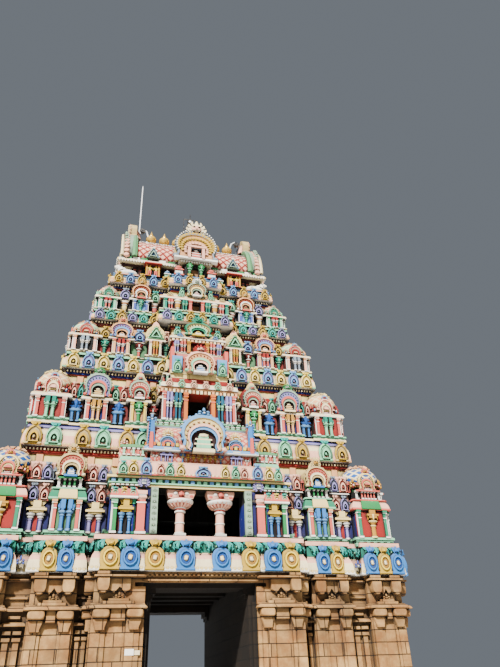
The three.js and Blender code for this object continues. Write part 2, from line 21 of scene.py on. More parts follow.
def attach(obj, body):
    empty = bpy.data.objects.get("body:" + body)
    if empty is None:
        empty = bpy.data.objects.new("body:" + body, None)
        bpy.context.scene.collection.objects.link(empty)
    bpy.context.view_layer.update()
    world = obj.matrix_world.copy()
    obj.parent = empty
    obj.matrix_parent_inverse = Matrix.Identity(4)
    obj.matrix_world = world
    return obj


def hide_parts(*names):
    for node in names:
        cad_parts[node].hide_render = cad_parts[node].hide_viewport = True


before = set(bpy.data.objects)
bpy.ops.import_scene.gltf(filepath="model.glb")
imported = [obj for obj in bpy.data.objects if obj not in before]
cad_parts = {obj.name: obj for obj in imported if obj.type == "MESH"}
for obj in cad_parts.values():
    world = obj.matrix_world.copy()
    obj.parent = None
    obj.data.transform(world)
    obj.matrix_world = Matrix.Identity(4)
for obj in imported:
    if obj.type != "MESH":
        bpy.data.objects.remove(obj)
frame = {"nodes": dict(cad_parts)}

LOG = logging.getLogger("gateway_tower")
SMOOTH_ANGLE = math.radians(38)
GLOSS = 0.22

Point = tuple[float, float]
RGBA = tuple[float, float, float, float]
Rows = Sequence[Sequence[float]]
Material = bpy.types.Material
Socket = bpy.types.NodeSocket

# Colours, sides and coats


class Paint(Enum):
    """Colours of the painted plaster and stone, as sRGB hex."""

    PINK = "C6594A"
    BLUSH = "E4A98F"
    ROSE = "8C231D"
    BLUE = "124C92"
    LAKE = "3170AE"
    SKY = "5E8FBB"
    VIOLET = "415198"
    NAVY = "0B1760"
    TEAL = "0C7660"
    PETROL = "13556B"
    SEA = "22988A"
    JADE = "177854"
    MINT = "7CC296"
    GREEN = "20793F"
    MOSS = "568A5B"
    SAGE = "869C84"
    PINE = "06321B"
    YELLOW = "D7B845"
    OCHRE = "B69330"
    STRAW = "DDC27C"
    GOLD = "AD7C27"
    CREAM = "E0CD9F"
    SAND = "BCA26C"
    WHITE = "E8E2D5"
    LILAC = "857CB0"
    PEACH = "D79B69"
    ORANGE = "BF6527"
    RED = "4F0904"
    BROWN = "340C05"
    # DARK and BLACK, near-black, are used mostly as painted shade in gaps, recesses and openings.
    DARK = "010100"
    GREY = "78848F"
    BLACK = "000000"
    STONE = "8B663C"
    BUFF = "A5804F"

    @property
    def linear(self) -> RGBA:
        """The colour as linear RGBA."""
        channels = [int(self.value[i : i + 2], 16) / 255 for i in (0, 2, 4)]
        return (*[c / 12.92 if c <= 0.04045 else ((c + 0.055) / 1.055) ** 2.4 for c in channels], 1.0)


def hues(names: str) -> list[RGBA]:
    """The colours that a line of paint names stands for."""
    return [Paint[name.upper()].linear for name in names.split()]


class Coat(Enum):
    """Which finish a face of an ornament takes; the value is its material slot."""

    PLAIN = 0
    LATTICE = 1


class Side(Enum):
    """A face of the tower, as its turn about Z in degrees from the front."""

    FRONT = 0
    RIGHT = 90
    BACK = 180
    LEFT = 270

    @property
    def turn(self) -> Matrix:
        """The turn that carries the front onto this side."""
        return Matrix.Rotation(math.radians(self.value), 4, "Z")


FRONT = (Side.FRONT,)
FRONT_BACK = (Side.FRONT, Side.BACK)
ENDS = (Side.RIGHT, Side.LEFT)

# Finishes


class Graph:
    """Adds and joins the nodes of one tree, a material's or a group's."""

    def __init__(self, tree: bpy.types.NodeTree, material: Material | None = None) -> None:
        """Starts on an existing tree.

        Args:
            tree: The tree to build in.
            material: The material that it belongs to.
        """
        self.tree = tree
        self.material = material

    def add(self, kind: str, inputs: dict | None = None, **settings: object) -> bpy.types.Node:
        """Adds a node.

        Args:
            kind: The node's type name.
            inputs: Socket name or index to a value, or to a socket to link from.
            settings: Attributes of the node.

        Returns:
            The node.
        """
        node = self.tree.nodes.new(kind)
        for key, value in settings.items():
            setattr(node, key, value)
        for key, value in (inputs or {}).items():
            if isinstance(value, Socket):
                self.tree.links.new(value, node.inputs[key])
            else:
                node.inputs[key].default_value = value
        return node

    def noise(self, place: Socket, scale: float, detail: float, rough: float = 0.55) -> Socket:
        """Adds a noise texture.

        Args:
            place: Where the pattern is read.
            scale: Features per metre.
            detail: Octaves.
            rough: Weight of the fine octaves.

        Returns:
            The noise value.
        """
        inputs = {"Vector": place, "Scale": scale, "Detail": detail, "Roughness": rough}
        return self.add("ShaderNodeTexNoise", inputs).outputs["Fac"]

    def remap(self, value: Socket, low: float, high: float, start: float = 0.0, end: float = 1.0) -> Socket:
        """Stretches a range of a value, clamped.

        Args:
            value: The value.
            low: Where the source range starts.
            high: Where it ends.
            start: What low becomes.
            end: What high becomes.

        Returns:
            The stretched value.
        """
        return self.add("ShaderNodeMapRange", dict(enumerate((value, low, high, start, end)))).outputs[0]

    def math(self, kind: str, *values: object) -> Socket:
        """Adds a Math node of a kind on numbers or sockets."""
        return self.add("ShaderNodeMath", dict(enumerate(values)), operation=kind).outputs[0]

    def mix(self, factor: object, first: object, second: object, blend: str = "MIX") -> Socket:
        """Mixes two colours.

        Args:
            factor: How much of the second.
            first: Colour or socket.
            second: Colour or socket.
            blend: The blend mode.

        Returns:
            The mixed colour.
        """
        inputs = {0: factor, 6: first, 7: second}
        return self.add("ShaderNodeMix", inputs, data_type="RGBA", blend_type=blend).outputs[2]

    def grey(self, value: Socket) -> Socket:
        """Makes a value a grey colour."""
        return self.add("ShaderNodeCombineColor", {0: value, 1: value, 2: value}).outputs[0]

    def bands(self, value: Socket, stops: dict[float, str]) -> Socket:
        """Cuts a value into flat bands of colour; the last one is a metre high.

        Args:
            value: The value.
            stops: Where each band starts, and its paint.

        Returns:
            The colour.
        """
        low, high = min(stops), max(stops) + 1.0
        ramp = self.add("ShaderNodeValToRGB", {0: self.remap(value, low, high)})
        ramp.color_ramp.interpolation = "CONSTANT"
        elements = ramp.color_ramp.elements
        while len(elements) < len(stops):
            elements.new(1.0)
        for element, (start, paint) in zip(elements, stops.items()):
            element.position = (start - low) / (high - low)
            element.color = hues(paint)[0]
        return ramp.outputs[0]

    def place(self) -> tuple[Socket, ...]:
        """The Object coordinate, and its x, y and z."""
        whole = self.add("ShaderNodeTexCoord").outputs["Object"]
        return (whole, *self.add("ShaderNodeSeparateXYZ", {0: whole}).outputs)

    def drawn(self, scale: Sequence[float], detail: float, rough: float) -> Socket:
        """Noise stretched along an axis.

        Args:
            scale: Features per metre along x, y and z.
            detail: Octaves.
            rough: Weight of the fine octaves.

        Returns:
            The noise value.
        """
        mapped = self.add("ShaderNodeMapping", {"Vector": self.place()[0], "Scale": scale})
        return self.noise(mapped.outputs[0], 1.0, detail, rough)

    def output(self, **inputs: object) -> Material:
        """Ends a material in a Principled BSDF.

        Args:
            inputs: Its inputs, with underscores for spaces.

        Returns:
            The material.
        """
        named = {key.replace("_", " "): value for key, value in inputs.items()}
        shader = self.add("ShaderNodeBsdfPrincipled", {"Specular IOR Level": GLOSS, **named})
        self.add("ShaderNodeOutputMaterial", {"Surface": shader.outputs[0]})
        return self.material

    def bump(self, height: Socket, distance: float) -> Socket:
        """Turns a height into a normal that stands a distance out, in metres."""
        return self.add("ShaderNodeBump",
                        {"Height": height, "Distance": distance, "Strength": 1.0}).outputs[0]

    def crevice(self, reach: float, most: float) -> Socket:
        """Finds the hollows between carvings by ambient occlusion, so that shade can be painted into them.

        Args:
            reach: How far the surroundings count, in metres.
            most: The value in the deepest hollow.

        Returns:
            The value, 0 on open faces.
        """
        open_sky = self.add("ShaderNodeAmbientOcclusion", {"Distance": reach}, samples=6).outputs["AO"]
        return self.remap(open_sky, 0.3, 0.85, most, 0.0)

    def inside(self, half_x: float, half_y: float, top: float) -> Socket:
        """Finds what lies inside a room about the tower's middle.

        Args:
            half_x: Half its length.
            half_y: Half its depth.
            top: Its top.

        Returns:
            1 inside and 0 elsewhere.
        """
        _, x, y, z = self.place()
        near_x = self.math("LESS_THAN", self.math("ABSOLUTE", x), half_x)
        near_y = self.math("LESS_THAN", self.math("ABSOLUTE", y), half_y)
        return self.math("MULTIPLY", self.math("MULTIPLY", near_x, near_y), self.math("LESS_THAN", z, top))


def new_group(name: str, inputs: dict[str, object], outputs: dict[str, str]) -> Graph:
    """Makes an empty shader node group with named sockets.

    Args:
        name: The group's name.
        inputs: Input name to a float or an RGBA default.
        outputs: Output name to Float or Color.

    Returns:
        A graph on the group.
    """
    tree = bpy.data.node_groups.new(name, "ShaderNodeTree")
    for key, default in inputs.items():
        kind = "NodeSocketFloat" if isinstance(default, float) else "NodeSocketColor"
        tree.interface.new_socket(key, in_out="INPUT", socket_type=kind).default_value = default
    for key, kind in outputs.items():
        tree.interface.new_socket(key, in_out="OUTPUT", socket_type="NodeSocket" + kind)
    return Graph(tree)


def new_material(name: str) -> Graph:
    """Makes an empty node material and a graph on its nodes.

    Args:
        name: The material's name.

    Returns:
        The graph that fills it.
    """
    material = bpy.data.materials.new(name)
    material.use_nodes = True
    material.node_tree.nodes.clear()
    return Graph(material.node_tree, material)


@cache
def wear_and_painted_shade() -> bpy.types.NodeTree:
    """Builds the shared wear of painted plaster (bleaching, rain streaks, grime on ledges, chips) and the
    painted shade that blackens the hollows between carvings.

    Returns:
        The node group.
    """
    inputs = {"Colour": (0.8, 0.8, 0.8, 1.0), "Streaks": 0.5, "Grime": 0.5, "Chips": 0.5}
    g = new_group("wear_and_painted_shade", inputs, {"Colour": "Color", "Roughness": "Float", "Height": "Float"})
    given = g.add("NodeGroupInput").outputs
    place = g.place()[0]
    rain = g.remap(g.drawn((4.5, 4.5, 0.4), 6.0, 0.7), 0.52, 0.76, 0.0, 0.65)
    streak = g.math("MULTIPLY", rain, given["Streaks"])
    fine = g.noise(place, 28.0, 4.0)
    chip = g.math("MULTIPLY", g.remap(g.noise(place, 6.5, 9.0, 0.72), 0.64, 0.67), given["Chips"])
    up = g.add("ShaderNodeSeparateXYZ", {0: g.add("ShaderNodeNewGeometry").outputs["Normal"]}).outputs[2]
    ledge = g.math("MULTIPLY", g.remap(up, 0.3, 0.95), given["Grime"])
    tone = g.remap(g.noise(place, 0.5, 5.0, 0.6), 0.3, 0.7, 0.84, 1.06)
    speck = g.math("MULTIPLY", tone, g.remap(fine, 0.3, 0.7, 0.93, 1.05))
    colour = g.mix(1.0, given["Colour"], g.grey(speck), "MULTIPLY")
    colour = g.mix(streak, colour, (0.13, 0.1, 0.085, 1.0))
    colour = g.mix(ledge, colour, (0.17, 0.145, 0.12, 1.0))
    # Painted shade: the hollows between carvings turn near-black, by ambient occlusion.
    colour = g.mix(g.crevice(0.6, 0.96), colour, (0.014, 0.012, 0.011, 1.0))
    colour = g.mix(chip, colour, (0.5, 0.43, 0.36, 1.0))
    height = g.math("SUBTRACT", g.math("MULTIPLY", fine, 0.35), g.math("MULTIPLY", chip, 0.5))
    rough = g.remap(fine, 0.2, 0.8, 0.7, 0.92)
    g.add("NodeGroupOutput", {"Colour": colour, "Roughness": rough, "Height": height})
    return g.tree


@cache
def lattice() -> bpy.types.NodeTree:
    """Builds the shared diamond lattice: crossed raised bands over a darker ground.

    Returns:
        The node group, whose U and V count diamonds.
    """
    g = new_group("lattice", {"U": 0.0, "V": 0.0, "Width": 0.2}, {"Band": "Float", "Boss": "Float"})
    given = g.add("NodeGroupInput").outputs
    lines = []
    for kind in ("ADD", "SUBTRACT"):
        along = g.math("FRACT", g.math("ADD", g.math(kind, given["U"], given["V"]), 100.0))
        lines.append(g.math("ABSOLUTE", g.math("SUBTRACT", along, 0.5)))
    edge = g.math("SUBTRACT", 0.5, given["Width"])
    band = g.math("GREATER_THAN", g.math("MAXIMUM", *lines), edge)
    boss = g.math("LESS_THAN", g.math("ADD", *lines), given["Width"])
    g.add("NodeGroupOutput", {"Band": band, "Boss": boss})
    return g.tree


class Finishes:
    """Every finish of the tower, each made once."""

    @staticmethod
    def _weathered_with_shade(g: Graph, colour: object, wear: Point, chips: float, out: float,
              relief: Socket | None = None) -> Material:
        """Ends a material in weathered plaster, with painted shade in its hollows.

        Args:
            g: The material's graph.
            colour: The clean colour.
            wear: How strong the rain streaks are, and how dark the ledges.
            chips: How much bare plaster shows.
            out: How far the relief stands out.
            relief: What raises the surface besides the wear.

        Returns:
            The material.
        """
        inputs = {"Colour": colour, "Streaks": wear[0], "Grime": wear[1], "Chips": chips}
        # Wear, and the painted shade in hollows, from the shared group.
        wear_and_shade = g.add("ShaderNodeGroup", inputs, node_tree=wear_and_painted_shade()).outputs
        height = g.math("ADD", wear_and_shade[2], relief) if relief else wear_and_shade[2]
        return g.output(Base_Color=wear_and_shade[0], Roughness=wear_and_shade[1], Normal=g.bump(height, out))

    @staticmethod
    def _diamonds(g: Graph, u: Socket, v: Socket, width: float) -> Sequence[Socket]:
        """Places the lattice group.

        Args:
            g: The material's graph.
            u: Diamonds along the surface.
            v: Diamonds up the surface.
            width: Half the share of a diamond that the band takes.

        Returns:
            The bands and the bosses between them.
        """
        return g.add("ShaderNodeGroup", {"U": u, "V": v, "Width": width}, node_tree=lattice()).outputs

    @cached_property
    def carving(self) -> Material:
        """Painted carving in the colours of its own paint attribute.

        Returns:
            The material.
        """
        g = new_material("painted_carving")
        paint = g.add("ShaderNodeAttribute", attribute_name="paint").outputs["Color"]
        return self._weathered_with_shade(g, paint, (0.45, 0.5), 0.35, 0.012)

    @cached_property
    def latticed(self) -> Material:
        """Painted carving under a diamond lattice that follows the piece's wrap map.

        Returns:
            The material.
        """
        g = new_material("latticed_dome")
        paint = g.add("ShaderNodeAttribute", attribute_name="paint").outputs["Color"]
        wrap = g.add("ShaderNodeSeparateXYZ", {0: g.add("ShaderNodeUVMap", uv_map="wrap").outputs[0]}).outputs
        band = self._diamonds(g, g.math("MULTIPLY", wrap[0], 10.0), g.math("MULTIPLY", wrap[1], 5.0), 0.16)[0]
        return self._weathered_with_shade(g, g.mix(band, paint, Paint.CREAM.linear), (0.4, 0.6), 0.35, 0.02, band)

    def plaster(self, name: str, stops: dict[float, str], rooms: Rows = ()) -> Material:
        """Makes plaster painted in level bands, with painted shade, near-black, inside its rooms.

        Args:
            name: The material's name.
            stops: Where each band starts, and its paint.
            rooms: Half the length, half the depth and the top of each room.

        Returns:
            The material.
        """
        g = new_material(name)
        colour = g.bands(g.place()[3], stops)
        # Painted shade: near-black inside each room, where daylight doesn't reach.
        for room in rooms:
            colour = g.mix(g.inside(*room), colour, (0.02, 0.016, 0.014, 1.0))
        return self._weathered_with_shade(g, colour, (0.6, 0.75), 0.5, 0.015)

    def barrel(self, name: str, middle: float, pitch: float, band: Paint) -> Material:
        """Makes a barrel roof's diamond lattice.

        Args:
            name: The material's name.
            middle: How far from the tower's middle plane the roof's ridge lies.
            pitch: The width of a diamond.
            band: The colour of the bands.

        Returns:
            The material.
        """
        g = new_material(name)
        _, x, y, z = g.place()
        out = g.math("ABSOLUTE", g.math("SUBTRACT", g.math("ABSOLUTE", y), middle))
        up = g.math("SUBTRACT", z, g.math("MULTIPLY", out, 0.7))
        bands, bosses = self._diamonds(g, g.math("DIVIDE", x, pitch), g.math("DIVIDE", up, pitch), 0.14)
        colour = g.mix(bands, Paint.BLUSH.linear, band.linear)
        colour = g.mix(bosses, colour, Paint.WHITE.linear)
        return self._weathered_with_shade(g, colour, (0.6, 0.35), 0.5, 0.03, g.math("MAXIMUM", bands, bosses))

    def _blocks(self, name: str, dark: float) -> Material:
        """Makes coursed granite, with painted shade in its hollows and inside the passage.

        Args:
            name: The material's name.
            dark: How dark its stains are; the copy under the passage takes more of them, as painted shade.

        Returns:
            The material.
        """
        g = new_material(name)
        place, x, y, z = g.place()
        flat = g.add("ShaderNodeCombineXYZ", {0: g.math("ADD", x, y), 1: z})
        sizes = {"Scale": 1.0, "Mortar Size": 0.019, "Mortar Smooth": 0.25, "Brick Width": 1.15,
                 "Row Height": 0.46}
        tones = {key: (value, value, value, 1.0)
                 for key, value in (("Color1", 0.25), ("Color2", 0.8), ("Mortar", 0.0))}
        inputs = {"Vector": flat.outputs[0], **sizes, **tones}
        bricks, joints = g.add("ShaderNodeTexBrick", inputs, offset=0.43, squash=0.8).outputs
        # Dark stains; raised by dark on the granite under the passage, where they stand in for shade.
        stain = g.remap(g.noise(place, 0.6, 7.0, 0.68), 0.47, 0.7, 0.0, dark)
        rust = g.remap(g.noise(place, 1.3, 7.0, 0.7), 0.44, 0.66, 0.0, 0.7)
        grain = g.noise(place, 46.0, 5.0, 0.7)
        shade = g.math("MULTIPLY", g.remap(bricks, 0.2, 0.85, 0.62, 1.3),
                       g.remap(grain, 0.3, 0.7, 0.82, 1.12))
        tint = g.mix(g.remap(g.noise(place, 1.7, 4.0), 0.4, 0.62), Paint.STONE.linear, Paint.BUFF.linear)
        colour = g.mix(1.0, tint, g.grey(shade), "MULTIPLY")
        colour = g.mix(rust, colour, (0.19, 0.065, 0.014, 1.0))
        colour = g.mix(stain, colour, (0.03, 0.021, 0.015, 1.0))
        # Dark joints, then painted shade in the hollows, by ambient occlusion.
        for hollow in (g.math("MULTIPLY", joints, 0.9), g.crevice(0.5, 0.92)):
            colour = g.mix(hollow, colour, (0.012, 0.009, 0.007, 1.0))
        # Painted shade: near-black inside the passage through the storey.
        colour = g.mix(g.math("MULTIPLY", g.inside(2.25, 4.7, 5.78), 0.97), colour,
                       (0.003, 0.0025, 0.002, 1.0))
        height = g.math("SUBTRACT", g.math("MULTIPLY", grain, 0.3), joints)
        return g.output(Base_Color=colour, Roughness=g.remap(grain, 0.2, 0.8, 0.74, 0.95),
                        Normal=g.bump(height, 0.02))

    @cached_property
    def granite(self) -> Material:
        """Sun-browned granite blocks."""
        return self._blocks("granite_blocks", 0.55)

    @cached_property
    def shaded_granite(self) -> Material:
        """Granite under the passage, with more dark stains as painted shade."""
        return self._blocks("shaded_granite_lintels", 0.8)

    @cached_property
    def gilt(self) -> Material:
        """Gilt metal with tarnish in patches.

        Returns:
            The material.
        """
        g = new_material("gilt_metal")
        place = g.place()[0]
        patch = g.remap(g.noise(place, 5.0, 6.0, 0.65), 0.45, 0.72)
        fine = g.noise(place, 60.0, 3.0)
        colour = g.mix(patch, (0.74, 0.47, 0.09, 1.0), (0.42, 0.24, 0.05, 1.0))
        rough = g.math("ADD", g.remap(fine, 0.3, 0.7, 0.2, 0.34), g.math("MULTIPLY", patch, 0.25))
        return g.output(Base_Color=colour, Metallic=0.45, Roughness=rough, Normal=g.bump(fine, 0.002))

    @cached_property
    def timber(self) -> Material:
        """Old brown boards with grain along their height.

        Returns:
            The material.
        """
        g = new_material("old_timber")
        grain = g.drawn((26.0, 26.0, 1.6), 6.0, 0.6)
        colour = g.mix(g.remap(grain, 0.3, 0.7), (0.13, 0.06, 0.025, 1.0), (0.3, 0.16, 0.07, 1.0))
        stain = g.remap(g.noise(g.place()[0], 3.0, 5.0), 0.5, 0.7, 0.0, 0.5)
        colour = g.mix(stain, colour, (0.06, 0.035, 0.02, 1.0))
        return g.output(Base_Color=colour, Roughness=g.remap(grain, 0.2, 0.8, 0.5, 0.8),
                        Normal=g.bump(grain, 0.004))

    @cached_property
    def pale_metal(self) -> Material:
        """Bright zinc-coated steel."""
        return self.metal("pale_metal", (0.8, 0.8, 0.8, 1.0), 0.3)

    def metal(self, name: str, colour: RGBA, metallic: float) -> Material:
        """Makes a plain metal with dust and small scratches.

        Args:
            name: The material's name.
            colour: Its clean colour.
            metallic: How metallic it is.

        Returns:
            The material.
        """
        g = new_material(name)
        place = g.place()[0]
        dust = g.remap(g.noise(place, 9.0, 5.0), 0.45, 0.75, 0.0, 0.5)
        fine = g.noise(place, 90.0, 3.0)
        dusty = g.mix(dust, colour, (0.3, 0.27, 0.23, 1.0))
        rough = g.remap(fine, 0.3, 0.7, 0.35, 0.55)
        return g.output(Base_Color=dusty, Metallic=metallic, Roughness=rough, Normal=g.bump(fine, 0.001))


FINISHES = Finishes()

# Shapes


def disc(sides: int) -> list[Vector]:
    """A level regular outline whose flats are one unit from its middle.

    Args:
        sides: How many sides it has.

    Returns:
        Its points.
    """
    reach = 1 / math.cos(math.pi / sides)
    turns = [math.tau * (k + 0.5) / sides for k in range(sides)]
    return [Vector((reach * math.cos(a), reach * math.sin(a), 0.0)) for a in turns]


def mirrored(right: Sequence[Point], middle: Sequence[Point] = ()) -> list[Point]:
    """Closes a right half outline, from the foot up, with its mirror image beyond the middle points."""
    return [*right, *middle, *[(-x, z) for x, z in reversed(right)]]


def arc(radius: float, height: float, start: float, end: float, count: int) -> list[Point]:
    """Points on an arc about a point on the middle line.

    Args:
        radius: Its radius.
        height: The height of its centre.
        start: The first point's angle in degrees, 0 to the right and 90 up.
        end: The last point's angle.
        count: How many points.

    Returns:
        The points.
    """
    turns = [math.radians(start + (end - start) * k / (count - 1)) for k in range(count)]
    return [(radius * math.cos(a), height + radius * math.sin(a)) for a in turns]


def spread(rows: Rows) -> list[tuple[float, float, int]]:
    """Splits rows that give one or more places before a size and a tone into one row a place."""
    return [(place, size, tone) for *places, size, tone in rows for place in places]


def hands(both: bool) -> tuple[int, ...]:
    """The hands to build on: right and left, or the right alone."""
    return (1, -1) if both else (1,)


@dataclass(frozen=True)
class Stamp:
    """A finished ornament: its mesh, and the tone number of each face corner."""

    mesh: bpy.types.Mesh
    tones: np.ndarray


class Form:
    """An ornament in the making, whose faces carry a tone number and a coat."""

    def __init__(self) -> None:
        """Starts an empty shape."""
        self.bm = bmesh.new()
        self.tone = self.bm.faces.layers.int.new("tone")

    def _mark(self, faces: Sequence[bmesh.types.BMFace], tone: int, coat: Coat = Coat.PLAIN) -> None:
        """Gives faces a tone and a coat.

        Args:
            faces: The faces.
            tone: The tone number.
            coat: The coat.
        """
        for face in faces:
            face[self.tone] = tone
            face.material_index = coat.value

    def loft(self, outline: Sequence[Vector], stages: Sequence[tuple[Matrix, int]], cap: int,
             coat: Coat = Coat.PLAIN) -> Form:
        """Extrudes a closed outline from stage to stage.

        Args:
            outline: Its points.
            stages: The placing of each ring, and the tone of the wall that leads to it.
            cap: The tone of the last face.
            coat: The coat of the walls.

        Returns:
            This form.
        """
        before, tone = stages[0]
        face = self.bm.faces.new([self.bm.verts.new(before @ point) for point in outline])
        self._mark([face], tone)
        for placing, tone in stages[1:]:
            grown = bmesh.ops.extrude_face_region(self.bm, geom=[face, *face.edges])["geom"]
            face = next(item for item in grown if isinstance(item, bmesh.types.BMFace))
            bmesh.ops.transform(self.bm, matrix=placing @ before.inverted(), verts=face.verts[:])
            walls = [wall for edge in face.edges for wall in edge.link_faces if wall is not face]
            self._mark(walls, tone, coat)
            before = placing
        self._mark([face], cap)
        return self

    def turned(self, profile: Rows, sides: int = 8, x: float = 0.0, y: float = -0.5, deep: float = 1.0,
               coat: Coat = Coat.PLAIN) -> Form:
        """Builds a shape of level rings, such as a column, and its twin where x isn't 0.

        Args:
            profile: One or more heights, a half width and a tone for each ring, from the foot up.
            sides: How many sides a ring has.
            x: Where its axis stands.
            y: Where its axis stands.
            deep: Its depth as a share of its width.
            coat: The coat of the walls.

        Returns:
            This form.
        """
        rings = [(z, max(half, 0.002), tone) for z, half, tone in spread(profile)]
        for hand in hands(x != 0):
            stages = [
                (Matrix.Translation((hand * x, y, z)) @ Matrix.Diagonal((half, half * deep, 1, 1)), tone)
                for z, half, tone in rings
            ]
            self.loft(disc(sides), stages, rings[-1][2], coat)
        return self

    def plate(self, outline: Sequence[Point], centre: float, rings: Rows, cap: int) -> Form:
        """Builds an upright plate whose rings step in towards a point.

        Args:
            outline: Its x and z points.
            centre: The height that the rings shrink to.
            rings: How far forward each ring stands, its share of the outline, and its tone.
            cap: The tone of the last face.

        Returns:
            This form.
        """
        centred = [Vector((x, 0.0, z - centre)) for x, z in outline]
        stages = [
            (Matrix.Translation((0, -out, centre)) @ Matrix.Diagonal((share, 1, share, 1)), tone)
            for out, share, tone in spread(rings)
        ]
        return self.loft(centred, stages, cap)

    def block(self, x: Point | float, y: Point | float, z: Point, tone: int, both: bool = False) -> Form:
        """Builds a block.

        Args:
            x: Its low and high x, or half its width.
            y: Its low and high y, or its depth in front of the wall.
            z: Its low and high z.
            tone: Its tone.
            both: Whether it has a mirror image.

        Returns:
            This form.
        """
        spans = (x if isinstance(x, tuple) else (-x, x), y if isinstance(y, tuple) else (-y, 0.0), z)
        middle, size = [(a + b) / 2 for a, b in spans], [b - a for a, b in spans]
        for hand in hands(both):
            placing = Matrix.Translation((hand * middle[0], *middle[1:])) @ Matrix.Diagonal((*size, 1))
            made = bmesh.ops.create_cube(self.bm, size=1.0, matrix=placing)["verts"]
            self._mark({face for vert in made for face in vert.link_faces}, tone)
        return self

    def ball(self, centre: Sequence[float], radii: Sequence[float], tone: int, detail: int = 1) -> Form:
        """Builds an ellipsoid, and its twin where its x isn't 0.

        Args:
            centre: Its middle.
            radii: Its three radii.
            tone: Its tone.
            detail: How finely it is divided.

        Returns:
            This form.
        """
        for hand in hands(centre[0] != 0):
            self.bead((hand * centre[0], *centre[1:]), radii, tone, detail)
        return self

    def bead(self, centre: Sequence[float], radii: Sequence[float], tone: int, detail: int = 1) -> None:
        """Builds an ellipsoid alone.

        Args:
            centre: Its middle.
            radii: Its three radii.
            tone: Its tone.
            detail: How finely it is divided.
        """
        placing = Matrix.Translation(centre) @ Matrix.Diagonal((*radii, 1))
        made = bmesh.ops.create_icosphere(self.bm, subdivisions=detail, radius=1.0, matrix=placing)["verts"]
        self._mark({face for vert in made for face in vert.link_faces}, tone)

    def limb(self, points: Rows, radii: Sequence[float], tone: int, sides: int = 5,
             both: bool = False) -> Form:
        """Builds a tapering round bar through points.

        Args:
            points: Where it goes.
            radii: Its radius at each point.
            tone: Its tone.
            sides: How many sides it has.
            both: Whether it has a mirror image.

        Returns:
            This form.
        """
        for hand in hands(both):
            route = [Vector((hand * x, y, z)) for x, y, z in points]
            stages = []
            for k, (point, radius) in enumerate(zip(route, radii)):
                ahead = route[min(k + 1, len(route) - 1)] - route[max(k - 1, 0)]
                turn = Vector((0, 0, 1)).rotation_difference(ahead).to_matrix().to_4x4()
                stages.append((Matrix.Translation(point) @ turn @ Matrix.Diagonal((radius, radius, 1, 1)),
                               tone))
            self.loft(disc(sides), stages, tone)
        return self

    def bar(self, profile: Rows, low: float, high: float, mitres: tuple[int, int] = (0, 0),
            back: float = 0.12) -> Form:
        """Builds a straight moulding with mitred ends.

        Args:
            profile: How far out, how high, and the tone of each corner, from the foot up.
            low: Where it starts along x, on the wall.
            high: Where it ends.
            mitres: 1 for an outer corner, -1 for an inner one and 0 for none, at each end.
            back: How far it reaches into the wall.

        Returns:
            This form.
        """
        foot, head = profile[0][1], profile[-1][1]
        outline = [Vector((0, -out, z)) for out, z, _ in profile] + [Vector((0, back, head)),
                                                                     Vector((0, back, foot))]
        ends = []
        for at, slope in ((low, mitres[0]), (high, -mitres[1])):
            placing = Matrix.Translation((at, 0, 0))
            placing[0][1] = slope
            ends.append((placing, profile[0][2]))
        first = len(self.bm.faces)
        self.loft(outline, ends, profile[0][2])
        self.bm.faces.ensure_lookup_table()
        stretches = [((a[0] + b[0]) / 2, (a[1] + b[1]) / 2, b[2]) for a, b in zip(profile, profile[1:])]
        for face in self.bm.faces[first:]:
            middle = face.calc_center_median()
            face[self.tone] = min(stretches, key=lambda s: abs(s[0] + middle.y) + abs(s[1] - middle.z))[2]
        return self

    def stamp(self) -> Stamp:
        """Finishes the shape.

        Returns:
            The ornament, ready to be laid.
        """
        bm = self.bm
        bmesh.ops.recalc_face_normals(bm, faces=bm.faces[:])
        for edge in bm.edges:
            edge.smooth = edge.is_manifold and edge.calc_face_angle(0.0) < SMOOTH_ANGLE
        wrap = bm.loops.layers.uv.new("wrap")
        tones: list[int] = []
        for face in bm.faces:
            face.smooth = True
            tones += [face[self.tone]] * len(face.loops)
            if face.material_index == Coat.LATTICE.value:
                self._unwrap(face, wrap)
        bm.faces.layers.int.remove(self.tone)
        mesh = bpy.data.meshes.new("stamp")
        bm.to_mesh(mesh)
        bm.free()
        mesh.color_attributes.new("paint", "BYTE_COLOR", "CORNER")
        return Stamp(mesh, np.array(tones, np.int32))

    @staticmethod
    def _unwrap(face: bmesh.types.BMFace, wrap: bmesh.types.BMLayerItem) -> None:
        """Maps a face by its turn about the vertical line through the shape, and by its height.

        Args:
            face: The face.
            wrap: The map's layer.
        """
        middle = face.calc_center_median()
        around = math.atan2(middle.x, -middle.y - 0.5)
        for loop in face.loops:
            turn = math.atan2(loop.vert.co.x, -loop.vert.co.y - 0.5)
            turn += math.tau * round((around - turn) / math.tau)
            loop[wrap].uv = (turn / math.tau, loop.vert.co.z)


# Plans


@dataclass(frozen=True)
class Run:
    """A straight stretch of wall, on four matching places of the tower."""

    sides: tuple[Side, ...]
    low: float
    high: float
    plane: float
    mitres: tuple[int, int]


